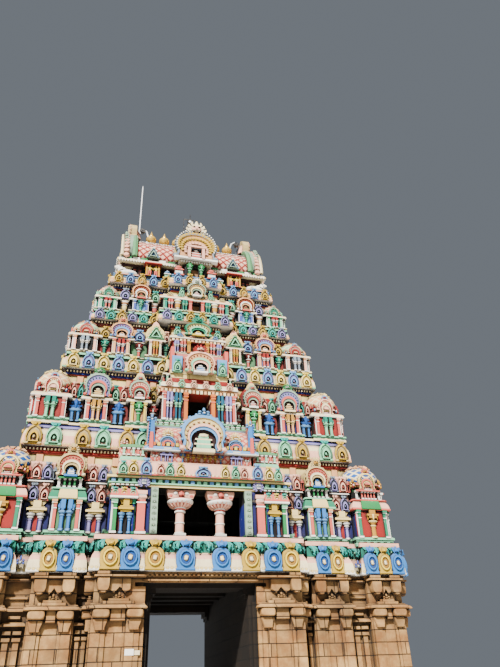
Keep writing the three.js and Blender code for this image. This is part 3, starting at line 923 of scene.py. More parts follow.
@dataclass(frozen=True)
class Plan:
    """A quarter of a stepped outline, from the middle of the front to the middle of the right end."""

    corners: tuple[Point, ...]

    @classmethod
    def stepped(cls, front: Sequence[Point], side: Sequence[Point]) -> Plan:
        """Makes a plan from bays.

        Args:
            front: Where each front bay ends, and its plane, from the middle out.
            side: The same for the end wall.

        Returns:
            The plan.
        """
        corners = [(0.0, front[0][1])]
        for (to, plane), (_, after) in zip(front, front[1:]):
            corners += [(to, plane), (to, after)]
        corners.append(front[-1])
        for (to, plane), (_, after) in reversed(list(zip(side, side[1:]))):
            corners += [(after, to), (plane, to)]
        return cls((*corners, (side[0][1], 0.0)))

    @classmethod
    def cross(cls, x: float, y: float, bay_x: float, bay_y: float) -> Plan:
        """Makes a rectangle with a middle bay on the front.

        Args:
            x: Half its length.
            y: Half its depth.
            bay_x: Half the bay's width.
            bay_y: The bay's plane.

        Returns:
            The plan.
        """
        return cls(((0.0, bay_y), (bay_x, bay_y), (bay_x, y), (x, y), (x, 0.0)))

    @classmethod
    def bay(cls, half: float, plane: float, wall: float) -> Plan:
        """Makes a middle bay of half a width and a plane, with returns to the wall behind."""
        return cls(((0.0, plane), (half, plane), (half, wall)))

    def grown(self, out: float) -> Plan:
        """The plan, moved outwards on every wall.

        Args:
            out: How far.

        Returns:
            The new plan.
        """
        moved = [[x, y] for x, y in self.corners]
        for k, (x, y) in enumerate(zip(self.corners, self.corners[1:])):
            nx, ny = self._outward(x, y)
            for corner in (moved[k], moved[k + 1]):
                corner[0] += nx * out
                corner[1] += ny * out
        return Plan(tuple((x, y) for x, y in moved))

    @staticmethod
    def _outward(a: Point, b: Point) -> tuple[int, int]:
        """The outward direction of the wall from a to b."""
        step = (np.sign(round(b[0] - a[0], 6)), np.sign(round(b[1] - a[1], 6)))
        return int(-step[1]), int(step[0])

    def runs(self) -> Iterator[Run]:
        """The straight stretches, each with its mitres.

        Yields:
            One run after another.
        """
        walls = list(zip(self.corners, self.corners[1:]))
        normals = [self._outward(a, b) for a, b in walls]
        for k, ((a, b), (nx, ny)) in enumerate(zip(walls, normals)):
            bends = [0, 0]
            for end, other in enumerate((k - 1, k + 1)):
                if 0 <= other < len(walls):
                    first, second = (normals[other], (nx, ny)) if end == 0 else ((nx, ny), normals[other])
                    bends[end] = -(first[0] * second[1] - first[1] * second[0])
            axis = 0 if ny else 1
            low, high = a[axis], b[axis]
            if low > high:
                low, high, bends = high, low, bends[::-1]
            yield Run(FRONT_BACK if ny else ENDS, low, high, ny * a[1] if ny else nx * a[0],
                      (bends[0], bends[1]))

    def cleared(self, clear: float) -> Iterator[Run]:
        """The runs, without the middle of the front and back.

        Args:
            clear: How much is left out on either side of the middle.

        Yields:
            One run after another.
        """
        for run in self.runs():
            if run.sides is ENDS or run.low >= clear:
                yield run
            elif run.high > clear + 0.02:
                yield Run(run.sides, clear, run.high, run.plane, (0, run.mitres[1]))


def eave(out: float, draw: float, foot: float, head: float, flats: int) -> Rows:
    """The profile of a drooping cornice: a straight lip and a quarter round, drawn in at the top.

    Args:
        out: How far the lip stands out.
        draw: How far the top is drawn in.
        foot: The height of its underside.
        head: The height of its top.
        flats: How many flats the curve has.

    Returns:
        The profile, with tone 1 on the lip, 0 on the curve's lower part and 2 above it.
    """
    lip = foot + min(0.09, (head - foot) * 0.2)
    turns = [math.pi / 2 * k / flats for k in range(1, flats + 1)]
    curve = [(out - draw * (1 - math.cos(a)), lip + (head - lip) * math.sin(a), 2 if a > 0.7 else 0)
             for a in turns]
    return [(out - 0.02, foot, 1), (out + 0.008, foot + 0.015, 1), (out + 0.008, lip, 1), (out, lip, 0),
            *curve]


def steps(*bands: tuple[float, float, float, int]) -> Rows:
    """The profile of stacked square fillets: how far out, the foot, the head and the tone of each."""
    return [(out, z, tone) for out, foot, head, tone in bands for z in (foot, head)]


class Masonry:
    """One piece of the tower, put together from carved shapes that lap each other."""

    def __init__(self, name: str, slot: str, *materials: Material) -> None:
        """Starts an empty piece.

        Args:
            name: The piece's name.
            slot: The name of a material slot; not used.
            materials: One for each coat, painted carving if left out.
        """
        self.name = name
        self.slot = slot
        self.materials = materials or (FINISHES.carving,)
        self.bm = bmesh.new()

    def lay(self, stamp: str | Stamp, paints: str, x: float, plane: float, z: float, size: Sequence[float],
            sides: Sequence[Side] = FRONT_BACK, pair: bool | None = None) -> None:
        """Lays copies of an ornament.

        Args:
            stamp: The ornament, or its name.
            paints: The paint of each tone.
            x: Its middle along the wall.
            plane: How far its back stands from the tower's middle.
            z: Its foot.
            size: Its width, depth and height.
            sides: The faces of the tower that get it.
            pair: Whether a mirror image stands at -x; left out, it does where x isn't 0.
        """
        shape = carved(stamp) if isinstance(stamp, str) else stamp
        palette = np.array(hues(paints), np.float32)
        colours = palette[shape.tones % len(palette)].ravel()
        for hand in hands(x != 0 if pair is None else pair):
            placing = Matrix.Translation((hand * x, -plane, z)) @ Matrix.Diagonal((hand * size[0], size[1],
                                                                                   size[2], 1))
            for side in sides:
                mesh = shape.mesh.copy()
                mesh.transform(side.turn @ placing)
                if hand * size[0] < 0:
                    mesh.flip_normals()
                mesh.color_attributes["paint"].data.foreach_set("color", colours)
                self.bm.from_mesh(mesh, face_normals=False, vertex_normals=False)
                bpy.data.meshes.remove(mesh)

    def set_out(self, *rows: tuple) -> None:
        """Lays several ornaments, each row giving what lay takes."""
        for row in rows:
            self.lay(*row)

    def fit(self, form: Form, paints: str, sides: Sequence[Side] = FRONT_BACK) -> None:
        """Lays a shape that has real sizes about the tower's middle.

        Args:
            form: The shape.
            paints: The paint of each tone.
            sides: The faces of the tower that get it.
        """
        self.lay(form.stamp(), paints, 0.0, 0.0, 0.0, (1, 1, 1), sides, True)

    def course(self, plan: Plan, profile: Rows, paints: str, clear: float = 0.0, back: float = 0.12) -> None:
        """Runs a mitred moulding round a plan.

        Args:
            plan: The walls that it follows.
            profile: Its profile, with real heights.
            paints: The paint of each tone.
            clear: How much of the front and back it leaves out on either side of the middle.
            back: How far it reaches into the wall.
        """
        for run in plan.cleared(clear):
            self.moulding(run, profile, paints, run.low, run.mitres, back)

    def moulding(self, run: Run, profile: Rows, paints: str, low: float, mitres: tuple[int, int],
                 back: float = 0.12) -> None:
        """Runs a moulding along one stretch of wall.

        Args:
            run: The stretch.
            profile: Its profile, with real heights.
            paints: The paint of each tone.
            low: Where it starts.
            mitres: The bend at each end.
            back: How far it reaches into the wall.
        """
        bar = Form().bar(profile, low, run.high, mitres, back).stamp()
        self.lay(bar, paints, 0.0, run.plane, 0.0, (1, 1, 1), run.sides, True)
        bpy.data.meshes.remove(bar.mesh)

    def row(self, plan: Plan, stamp: str, paints: Sequence[str], z: float, pitch: float,
            size: Sequence[float],
            least: float = 0.3, clear: float = 0.0) -> None:
        """Lays an ornament again and again along a plan.

        Args:
            plan: The walls that it follows.
            stamp: The ornament's name.
            paints: Palettes, taken in turn.
            z: Its foot.
            pitch: The distance between two, about.
            size: Its width, depth and height.
            least: The shortest wall that gets any.
            clear: How much of the front and back it leaves out on either side of the middle.
        """
        for run in plan.cleared(clear):
            length = run.high - run.low
            count = max(1, round(length / pitch)) if length >= least else 0
            for k in range(count):
                at = run.low + length * (k + 0.5) / count
                self.lay(stamp, paints[k % len(paints)], at, run.plane, z, size, run.sides)

    def finish(self, *replaced: str) -> None:
        """Makes the piece an object that rides on the tower.

        Args:
            replaced: The nodes that it stands for.
        """
        mesh = bpy.data.meshes.new(self.name)
        self.bm.to_mesh(mesh)
        self.bm.free()
        for material in self.materials:
            mesh.materials.append(material)
        piece = bpy.data.objects.new(self.name, mesh)
        bpy.context.scene.collection.objects.link(piece)
        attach(piece, "root")
        if replaced:
            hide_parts(*replaced)
        LOG.info("%s: %d triangles", self.name, sum(len(face.vertices) - 2 for face in mesh.polygons))


# Ornaments: x from -0.5 to 0.5, y from -1 in front to 0 at the wall, z from 0 to 1, with their tones' numbers

RECIPES: dict[str, Callable[[Form], object]] = {}
SQUARE = mirrored([(0.5, 0.0), (0.5, 1.0)])


def recipe(make: Callable[[Form], object]) -> Callable[[Form], object]:
    """Lists an ornament's recipe under its own name."""
    RECIPES[make.__name__] = make
    return make


@cache
def carved(name: str) -> Stamp:
    """Carves the ornament of a name, once.

    Args:
        name: The ornament's name.

    Returns:
        The ornament.
    """
    form = Form()
    RECIPES[name](form)
    return form.stamp()


@recipe
def cube(form: Form) -> None:
    """A block with its front edges taken off.

    Args:
        form: The shape to add to.
    """
    form.plate(SQUARE, 0.5, [(0, 0.88, 1, 0), (1, 0.9, 0)], 0)


@recipe
def panel(form: Form) -> None:
    """A framed panel: frame 0, field 1.

    Args:
        form: The shape to add to.
    """
    form.plate(SQUARE, 0.5, [(0, 1, 1, 0), (1, 0.86, 0), (0.35, 0.82, 1)], 1)


@recipe
def kudu(form: Form) -> None:
    """A round medallion on a stepped plate: plate 0, rings 1, face 2, crest 3, hollow 4.

    Args:
        form: The shape to add to.
    """
    right = [(0.5, 0.0), (0.5, 0.07), (0.44, 0.11), (0.5, 0.24), (0.5, 0.5), (0.4, 0.66), (0.2, 0.74)]
    form.plate(mirrored(right, [(0.0, 0.78)]), 0.37, [(0, 0.5, 1, 0), (0.6, 0.92, 0)], 0)
    ring = [(x, 0.39 + 0.74 * z) for x, z in arc(0.36, 0.0, 0, 330, 12)]
    form.plate(ring, 0.39, [(0.55, 0.8, 1, 1), (0.85, 0.93, 1), (0.85, 0.78, 1), (0.66, 0.72, 4)], 4)
    form.ball((0, -0.68, 0.39), (0.15, 0.24, 0.12), 2)
    form.ball((0, -0.62, 0.84), (0.2, 0.4, 0.1), 3)
    form.ball((0, -0.95, 0.82), (0.07, 0.12, 0.04), 1)
    form.limb([(0, -0.55, 0.84), (0, -0.55, 1.0)], (0.11, 0.04), 3, 4)
    form.limb([(0.1, -0.55, 0.84), (0.3, -0.55, 0.93)], (0.11, 0.04), 3, 4, True)


@recipe
def medallion(form: Form) -> None:
    """A pointed medallion for rows in pairs: plate 0, rings 1, hollow 4, crest 3.

    Args:
        form: The shape to add to.
    """
    outline = mirrored([(0.5, 0.0), (0.44, 0.12), (0.5, 0.3), (0.44, 0.52), (0.3, 0.7)], [(0.0, 0.84)])
    rings = [(0, 0.6, 1, 0), (0.7, 0.86, 0), (0.5, 0.8, 1), (0.5, 0.62, 1), (0.8, 0.58, 0), (0.8, 0.4, 0),
             (0.4, 0.36, 4)]
    form.plate(outline, 0.2, rings, 4)
    form.ball((0, -0.5, 0.3), (0.1, 0.3, 0.1), 1)
    form.ball((0, -0.55, 0.84), (0.16, 0.4, 0.12), 3)
    form.ball((0.36, -0.5, 0.04), (0.16, 0.3, 0.07), 1)
    form.limb([(0.06, -0.55, 0.82), (0.28, -0.5, 0.92)], (0.09, 0.04), 3, 4, True)


def arches(form: Form, opening: float, band: float) -> None:
    """Builds a horseshoe gable's nested arches: rim 0, beaded band 1, inner rim 2, field 3.

    Args:
        form: The shape to add to.
        opening: The share of the width that the opening takes.
        band: The share at which the beaded band ends.
    """
    outline = mirrored([(0.44, 0.0), (0.5, 0.06), (0.45, 0.16)], arc(0.5, 0.5, -28, 208, 15))
    wide = (band + opening) / 2
    rings = [(0, 0.55, 1, 0), (0.7, 0.96, 0), (0.7, 0.89, 0), (0.52, 0.87, 1), (0.52, band, 1),
             (0.75, band - 0.02, 2),
             (0.75, wide, 2), (0.6, wide - 0.01, 0), (0.6, opening + 0.01, 0), (0.15, opening, 3)]
    form.plate(outline, 0.0, rings, 3)


def stacked(form: Form, half: float, height: float) -> None:
    """Stacks a small stepped shrine in an opening, with tones 5 and 6.

    Args:
        form: The shape to add to.
        half: Half its width.
        height: Its height.
    """
    stages = ((1.0, 0.0, 0.14), (0.72, 0.14, 0.32), (0.95, 0.32, 0.4), (0.66, 0.4, 0.58), (0.85, 0.58, 0.66),
              (0.5, 0.66, 0.8))
    for k, (share, foot, head) in enumerate(stages):
        form.block(half * share, (-0.6 + 0.04 * k, -0.1), (foot * height, head * height), 5 + k % 2)
    form.ball((0, -0.35, 0.84 * height), (half * 0.55, 0.2, height * 0.14), 5)


def gable(form: Form, opening: float, band: float, half: float) -> None:
    """Builds a horseshoe gable with its beads, feet and shrine.

    Args:
        form: The shape to add to.
        opening: The share of the width that the opening takes.
        band: The share at which the beaded band ends.
        half: Half the shrine's width.
    """
    arches(form, opening, band)
    for (x, z), (bx, bz) in zip(arc(0.385, 0.4, -18, 198, 13), arc(0.5, 0.5, -24, 204, 13)):
        form.bead((x, -0.56, z), (0.03, 0.16, 0.03), 4)
        form.bead((bx, -0.35, bz), (0.05, 0.25, 0.05), 0)
    form.ball((0.46, -0.5, 0.06), (0.09, 0.35, 0.08), 2)
    stacked(form, half, half * 2.3)
    form.block(0.24, 0.9, (-0.05, 0.03), 5)


@recipe
def nasi(form: Form) -> None:
    """A horseshoe gable: rim 0, beaded band 1, inner rim 2, field 3, buds 4, shrine 5 and 6.

    Args:
        form: The shape to add to.
    """
    gable(form, 0.44, 0.68, 0.16)


@recipe
def wide_nasi(form: Form) -> None:
    """A horseshoe gable with a wide opening, and the same tones.

    Args:
        form: The shape to add to.
    """
    gable(form, 0.56, 0.74, 0.22)


@recipe
def fan(form: Form) -> None:
    """A great gable ringed with petals: rim 0, fan 1, frame 2, field 3, petals 4, shrine 5 and 6.

    Args:
        form: The shape to add to.
    """
    arches(form, 0.36, 0.46)
    for share, count, tone in ((0.41, 21, 4), (0.33, 17, 4), (0.25, 13, 2)):
        inner, outer = [arc(share * reach, 0.5 * share / 0.41, -20, 200, count) for reach in (0.86, 1.08)]
        for (x, z), (ex, ez) in zip(inner, outer):
            form.limb([(x, -0.5, z), (ex, -0.72, ez)], (0.012, 0.032), tone, 4)
    for x, z in arc(0.49, 0.5, -26, 206, 21):
        form.bead((x, -0.45, z), (0.045, 0.3, 0.045), 0)
    form.ball((0.47, -0.5, 0.06), (0.1, 0.4, 0.08), 0)
    form.block((0.135, 0.205), 0.9, (0, 0.4), 2, True)
    form.block(0.22, 0.95, (0.38, 0.44), 2)
    stacked(form, 0.14, 0.38)
    form.block(0.52, 0.8, (-0.04, 0.02), 5)


@recipe
def flower(form: Form) -> None:
    """A leafy crest: middle 0, eye 1, petals 2.

    Args:
        form: The shape to add to.
    """
    form.ball((0, -0.5, 0.34), (0.2, 0.42, 0.2), 0)
    form.ball((0, -0.9, 0.36), (0.09, 0.12, 0.09), 1)
    form.ball((0, -0.5, 0.71), (0.13, 0.3, 0.26), 2)
    for x, z in arc(1, 0, -15, 25, 2):
        form.ball((0.3 * x, -0.5, 0.38 + 0.33 * z), (0.15, 0.3, 0.14), 2)


@recipe
def mask(form: Form) -> None:
    """A grinning guardian mask among leaves: skin 0, eyes 1, leaves 2.

    Args:
        form: The shape to add to.
    """
    form.ball((0, -0.5, 0.42), (0.26, 0.42, 0.26), 0, 2)
    form.ball((0, -0.92, 0.4), (0.06, 0.1, 0.09), 0)
    form.block(0.17, (-0.9, -0.4), (0.22, 0.28), 1)
    for k in range(5):
        form.limb([(-0.14 + 0.07 * k, -0.86, 0.28), (-0.14 + 0.07 * k, -0.9, 0.18)], (0.03, 0.008), 2, 4)
    form.limb([(0, -0.5, 0.62), (0, -0.55, 1.0)], (0.15, 0.03), 2, 6)
    form.ball((0.12, -0.86, 0.5), (0.07, 0.1, 0.065), 1)
    form.limb([(0.12, -0.55, 0.62), (0.24, -0.6, 0.78), (0.2, -0.6, 0.92)], (0.07, 0.05, 0.02), 2, 5, True)
    form.limb([(0.22, -0.5, 0.5), (0.38, -0.55, 0.62), (0.36, -0.55, 0.74)], (0.08, 0.06, 0.02), 2, 5, True)
    form.limb([(0.24, -0.5, 0.36), (0.46, -0.5, 0.4), (0.48, -0.5, 0.5)], (0.08, 0.06, 0.02), 2, 5, True)
    form.limb([(0.2, -0.5, 0.24), (0.4, -0.5, 0.16), (0.5, -0.5, 0.22)], (0.08, 0.06, 0.02), 2, 5, True)
    form.limb([(0.12, -0.5, 0.16), (0.26, -0.5, 0.0)], (0.08, 0.03), 2, 5, True)


@recipe
def pilaster(form: Form) -> None:
    """A flat pilaster: shaft 0, bands 1, capital 2.

    Args:
        form: The shape to add to.
    """
    form.turned([(0, 0.05, 0.5, 1), (0.05, 0.09, 0.42, 0), (0.1, 0.7, 0.37, 0), (0.7, 0.73, 0.44, 1),
                 (0.74, 0.78, 0.36, 0),
                 (0.83, 0.87, 0.47, 2), (0.88, 0.9, 0.4, 1), (0.91, 1.0, 0.5, 2)], 4)


@recipe
def jamb(form: Form) -> None:
    """A pilaster of two strips, the outer one on the right: shaft 0, outer strip 1, capital 2.

    Args:
        form: The shape to add to.
    """
    form.block(0.5, 1.0, (0, 0.06), 1)
    form.block((-0.42, 0.14), 0.85, (0.05, 0.88), 0)
    form.block((0.16, 0.42), 0.62, (0.05, 0.88), 1)
    form.block((-0.48, 0.18), 0.98, (0.86, 0.9), 2)
    form.block(0.5, 1.0, (0.93, 1.0), 2)
    form.block((-0.44, 0.46), 0.9, (0.88, 0.95), 1)
    form.block((-0.46, 0.18), 0.92, (0.7, 0.73), 1)


@recipe
def column(form: Form) -> None:
    """A round column with a cross-shaped bracket: shaft 0, bands 1, bracket 2.

    Args:
        form: The shape to add to.
    """
    form.turned([(0, 0.06, 0.25, 1), (0.08, 0.18, 0), (0.4, 0.17, 0), (0.42, 0.45, 0.23, 1),
                 (0.47, 0.17, 0), (0.55, 0.28, 0),
                 (0.58, 0.61, 0.36, 1), (0.63, 0.18, 0), (0.72, 0.2, 0)], 8, deep=1.2)
    form.block(0.34, 0.9, (0.7, 0.78), 2)
    form.block(0.5, 0.95, (0.78, 0.85), 2)
    form.block(0.26, 0.85, (0.85, 1.0), 2)
    form.limb([(0.4, -0.6, 0.8), (0.42, -0.6, 0.64)], (0.09, 0.02), 2, 4, True)
    form.limb([(0, -0.9, 0.8), (0, -0.98, 0.64)], (0.09, 0.02), 1, 4)


@recipe
def double(form: Form) -> None:
    """Two close columns under one scrolled capital: shafts 0, bands 1, capital 2, slot 3, which most palettes
    paint near-black as the shade between the shafts.

    Args:
        form: The shape to add to.
    """
    form.block(0.08, 0.28, (0.02, 0.97), 3)
    form.turned([(0, 0.06, 0.17, 1), (0.08, 0.46, 0.12, 0), (0.47, 0.5, 0.16, 1), (0.52, 0.12, 0),
                 (0.58, 0.62, 0.22, 1),
                 (0.64, 0.13, 0), (0.72, 0.14, 0)], 8, 0.2, deep=2.2)
    form.limb([(0.12, -0.5, 0.76), (0.34, -0.55, 0.74), (0.46, -0.6, 0.82)], (0.09, 0.1, 0.05), 2, 5, True)
    form.limb([(0.1, -0.5, 0.9), (0.26, -0.55, 0.88), (0.36, -0.6, 0.94)], (0.08, 0.09, 0.05), 2, 5, True)
    form.ball((0.4, -0.62, 0.68), (0.07, 0.2, 0.05), 1)
    form.block((0.07, 0.33), 0.8, (0.7, 1.0), 2, True)


@recipe
def twin(form: Form) -> None:
    """Two columns that share a stepped block: shafts 0, cups 1, block 2, strip 3.

    Args:
        form: The shape to add to.
    """
    form.block(0.1, 0.35, (-0.04, 0.62), 3)
    form.turned([(0, 0.05, 0.15, 1), (0.07, 0.1, 0), (0.36, 0.09, 0), (0.38, 0.13, 0), (0.42, 0.09, 0),
                 (0.46, 0.16, 1),
                 (0.49, 0.17, 1), (0.5, 0.12, 0), (0.54, 0.22, 1), (0.58, 0.24, 1), (0.59, 0.64, 0.12, 0)],
                 10, 0.26, deep=2.2)
    form.block(0.36, 0.8, (0.62, 0.68), 2)
    form.block(0.5, 1.0, (0.68, 0.75), 2)
    form.block(0.4, 0.85, (0.75, 0.8), 2)
    form.block(0.2, 0.85, (0.8, 1.0), 2)
    form.limb([(0.15, -0.5, 0.95), (0.3, -0.5, 0.93), (0.42, -0.5, 1.0)], (0.08, 0.07, 0.03), 2, 4, True)


@recipe
def mushroom(form: Form) -> None:
    """A thick split column under a wide lipped capital: shaft 0, lip 1, scrolls 2, slot 3, painted near-black
    as the shade in the split.

    Args:
        form: The shape to add to.
    """
    form.block(0.05, 0.95, (0.02, 0.5), 3)
    form.turned([(0, 0.05, 0.24, 1), (0.07, 0.16, 0), (0.44, 0.15, 0), (0.5, 0.22, 0)], 8, 0.2, deep=1.8)
    form.turned([(0.48, 0.4, 0), (0.52, 0.46, 1), (0.56, 0.58, 0.5, 1), (0.6, 0.4, 0), (0.66, 0.34, 0),
                 (0.7, 0.4, 2),
                 (0.76, 0.42, 2), (0.8, 1.0, 0.3, 2)], 12)
    form.ball((0.36, -0.6, 0.74), (0.13, 0.25, 0.07), 2)
    form.ball((0.24, -0.65, 0.88), (0.12, 0.25, 0.07), 2)
    form.limb([(0, -0.85, 0.98), (0, -0.98, 0.8), (0, -0.95, 0.62)], (0.12, 0.1, 0.02), 2, 5)


@recipe
def vase(form: Form) -> None:
    """A squat vase column: body 0, bands 1, top 2.

    Args:
        form: The shape to add to.
    """
    form.turned([(0, 0.06, 0.3, 1), (0.07, 0.22, 0), (0.14, 0.2, 0), (0.16, 0.19, 0.27, 1), (0.22, 0.3, 0),
                 (0.45, 0.35, 0),
                 (0.6, 0.3, 0), (0.63, 0.67, 0.38, 1), (0.7, 0.28, 0), (0.8, 0.44, 2), (0.86, 0.5, 2),
                 (0.9, 0.5, 1),
                 (0.92, 1.0, 0.36, 1)], 10)


@recipe
def small_post(form: Form) -> None:
    """A little post for colonnades: shaft 0, ends 1.

    Args:
        form: The shape to add to.
    """
    form.turned([(0, 0.12, 0.5, 1), (0.14, 0.32, 0), (0.72, 0.3, 0), (0.8, 1.0, 0.5, 1)], 4)


@recipe
def dome(form: Form) -> None:
    """A corner shrine's dome: skin 0 under a lattice, bands 1, petals 2.

    Args:
        form: The shape to add to.
    """
    form.turned([(0, 0.05, 0.42, 1), (0.06, 0.1, 0.38, 2), (0.12, 0.17, 0.5, 1), (0.22, 0.45, 1)], 16)
    form.turned([(0.2, 0.44, 0), (0.32, 0.49, 0), (0.48, 0.5, 0), (0.62, 0.46, 0), (0.74, 0.38, 0),
                 (0.84, 0.27, 0)], 16,
                coat=Coat.LATTICE)
    form.turned([(0.82, 0.29, 1), (0.86, 0.27, 1), (0.88, 0.92, 0.16, 2), (0.95, 0.06, 2), (1, 0.01, 2)], 8)
    for k in range(12):
        x, y = math.cos(math.tau * k / 12), math.sin(math.tau * k / 12)
        lobe = [(0.47 * x, 0.47 * y - 0.5, 0.18), (0.4794 * x, 0.4794 * y - 0.5, 0.29)]
        form.limb(lobe, (0.09, 0.01), 2, 4)
        form.limb([(0.225 * x, 0.225 * y - 0.5, 0.86), (0.345 * x, 0.345 * y - 0.5, 0.8)], (0.06, 0.03), 1, 4)


@recipe
def figure(form: Form) -> None:
    """A standing attendant: skin 0, cloth 1, ornaments 2.

    Args:
        form: The shape to add to.
    """
    form.turned([(0, 0.04, 0.36, 2)], 8)
    form.limb([(0.14, -0.5, 0.03), (0.13, -0.5, 0.25), (0.11, -0.5, 0.46)], (0.07, 0.08, 0.13), 1, 6, True)
    form.limb([(0.22, -0.5, 0.74), (0.4, -0.5, 0.6), (0.26, -0.8, 0.62)], (0.075, 0.055, 0.045), 0, 5, True)
    form.turned([(0.4, 0.47, 0.2, 1), (0.49, 0.22, 2), (0.51, 0.16, 0), (0.62, 0.17, 0), (0.73, 0.22, 0),
                 (0.77, 0.16, 2),
                 (0.79, 0.08, 0), (0.81, 0.07, 0)], 8, deep=0.7)
    form.ball((0, -0.5, 0.86), (0.115, 0.13, 0.075), 0, 2)
    form.turned([(0.88, 0.14, 2), (0.91, 0.15, 2), (0.94, 0.1, 2), (0.97, 0.08, 2), (1.0, 0.02, 2)], 8)


@recipe
def scroll(form: Form) -> None:
    """A drooping leaf with a curled tip, for friezes: leaf 0, bud 1, shade 2.

    Args:
        form: The shape to add to.
    """
    form.block(0.5, 0.25, (0.05, 0.95), 2)
    form.limb([(-0.42, -0.3, 0.92), (-0.1, -0.5, 0.72), (0.12, -0.72, 0.4), (0.0, -0.85, 0.18),
               (-0.16, -0.7, 0.24)],
              (0.1, 0.16, 0.17, 0.13, 0.05), 0, 6)
    form.limb([(0.0, -0.35, 0.9), (0.3, -0.5, 0.66), (0.4, -0.6, 0.36), (0.3, -0.62, 0.12)],
              (0.08, 0.12, 0.11, 0.03), 0)
    form.bead((-0.24, -0.6, 0.5), (0.1, 0.2, 0.1), 1)


@recipe
def portal(form: Form) -> None:
    """A small portal with a dark doorway: frame 0, opening 1, roof 2.

    Args:
        form: The shape to add to.
    """
    form.block(0.3, 0.3, (0, 0.7), 1)
    form.turned([(0, 0.08, 0.1, 0), (0.1, 0.55, 0.07, 0), (0.6, 0.66, 0.12, 0)], 4, 0.32, -0.6, 3)
    form.block(0.5, 1.0, (0.64, 0.74), 0)
    form.block(0.4, 0.9, (0, 0.06), 0)
    outline = mirrored([(0.34, 0.72), (0.4, 0.8), (0.2, 0.94)], [(0, 1)])
    form.plate(outline, 0.84, [(0, 0.7, 1, 2), (0.95, 0.7, 2)], 0)


@recipe
def tent(form: Form) -> None:
    """A triangular gable in steps: rim 0, field 1, crest 2.

    Args:
        form: The shape to add to.
    """
    outline = mirrored([(0.5, 0.0), (0.5, 0.1), (0.36, 0.34), (0.22, 0.6), (0.08, 0.86)])
    rings = [(0, 0.7, 1, 0), (0.8, 0.86, 0), (0.6, 0.78, 1), (0.6, 0.6, 1), (0.9, 0.56, 0), (0.9, 0.4, 0),
             (0.5, 0.34, 1)]
    form.plate(outline, 0.26, rings, 1)
    for k in range(4):
        form.ball((0.46 - 0.13 * k, -0.6, 0.16 + 0.24 * k), (0.08, 0.3, 0.09), 2)
    form.ball((0, -0.6, 0.92), (0.1, 0.3, 0.1), 2)


@recipe
def cushion(form: Form) -> None:
    """A granite pilaster's pill-shaped cushion, and the flared neck under it.

    Args:
        form: The shape to add to.
    """
    pill = mirrored([(0.38, 0.58), (0.47, 0.63), (0.5, 0.78), (0.47, 0.94), (0.38, 1.0)])
    form.plate(pill, 0.78, [(0, 0.8, 1, 0), (0.95, 0.93, 0), (1, 0.8, 0)], 0)
    neck = mirrored([(0.27, 0.0), (0.27, 0.1), (0.4, 0.44), (0.4, 0.52), (0.32, 0.54), (0.32, 0.6)])
    form.plate(neck, 0.3, [(0, 0.5, 1, 0), (0.56, 0.95, 0)], 0)


@recipe
def bracket(form: Form) -> None:
    """A hanging five-sided granite bracket.

    Args:
        form: The shape to add to.
    """
    form.plate(mirrored([(0.16, 0.0), (0.42, 0.2), (0.5, 0.42), (0.5, 1.0)]), 0.5,
               [(0, 0.8, 1, 0), (1, 0.9, 0)], 0)


@recipe
def apron(form: Form) -> None:
    """The stone between two brackets, with a pointed notch in its foot.

    Args:
        form: The shape to add to.
    """
    outline = [*mirrored([(0.25, 0.0), (0.5, 0.22), (0.5, 1.0)]), (0.0, 0.4)]
    form.plate(outline, 0.6, [(0, 0.8, 1, 0), (1, 0.94, 0)], 0)


@recipe
def shaft(form: Form) -> None:
    """A plain square shaft with a stepped foot.

    Args:
        form: The shape to add to.
    """
    form.turned([(0, 0.05, 0.5, 0), (0.06, 0.1, 0.42, 0), (0.11, 1, 0.36, 0)], 4)


@recipe
def kalasam(form: Form) -> None:
    """A finial of stacked vases, one unit wide about its middle line.

    Args:
        form: The shape to add to.
    """
    form.turned([(0, 0.03, 0.34, 0), (0.05, 0.2, 0), (0.1, 0.16, 0), (0.14, 0.24, 0), (0.18, 0.26, 0),
                 (0.22, 0.18, 0),
                 (0.27, 0.2, 0), (0.33, 0.36, 0), (0.4, 0.47, 0), (0.48, 0.5, 0), (0.56, 0.47, 0),
                 (0.63, 0.36, 0),
                 (0.68, 0.71, 0.22, 0), (0.73, 0.14, 0), (0.77, 0.12, 0), (0.8, 0.15, 0), (0.83, 0.13, 0),
                 (0.88, 0.06, 0), (0.94, 0.04, 0), (1.0, 0.008, 0)], 20, y=0.0)


@recipe
def shrine(form: Form) -> None:
    """A free-standing stepped shrine about its middle line: body 0, cornices 1, dome 2.

    Args:
        form: The shape to add to.
    """
    form.turned([(0, 0.1, 0.5, 1), (0.12, 0.4, 0.38, 0), (0.42, 0.5, 1), (0.5, 0.46, 1),
                 (0.52, 0.6, 0.3, 0)], 4, y=0.0)
    form.turned([(0.58, 0.34, 2), (0.68, 0.4, 2), (0.8, 0.3, 2), (0.9, 0.1, 1), (1.0, 0.01, 1)], 10, y=0.0)


@recipe
def hood(form: Form) -> None:
    """A drooping shelf with returned ends: body 0, lip 1.

    Args:
        form: The shape to add to.
    """
    rings = [(0.0, 0.97, 0.94, 1), (0.05, 1, 1, 1), (0.2, 1, 1, 1), (0.22, 0.99, 0.97, 0),
             (0.45, 0.97, 0.94, 0),
             (0.7, 0.92, 0.86, 0), (0.9, 0.85, 0.76, 0), (1.0, 0.8, 0.68, 0)]
    outline = [Vector(point) for point in ((-0.5, 0, 0), (-0.5, -1, 0), (0.5, -1, 0), (0.5, 0, 0))]
    form.loft(outline, [(Matrix.Translation((0, 0, z)) @ Matrix.Diagonal((x, y, 1, 1)), tone)
                        for z, x, y, tone in rings], 0)


# Tiers

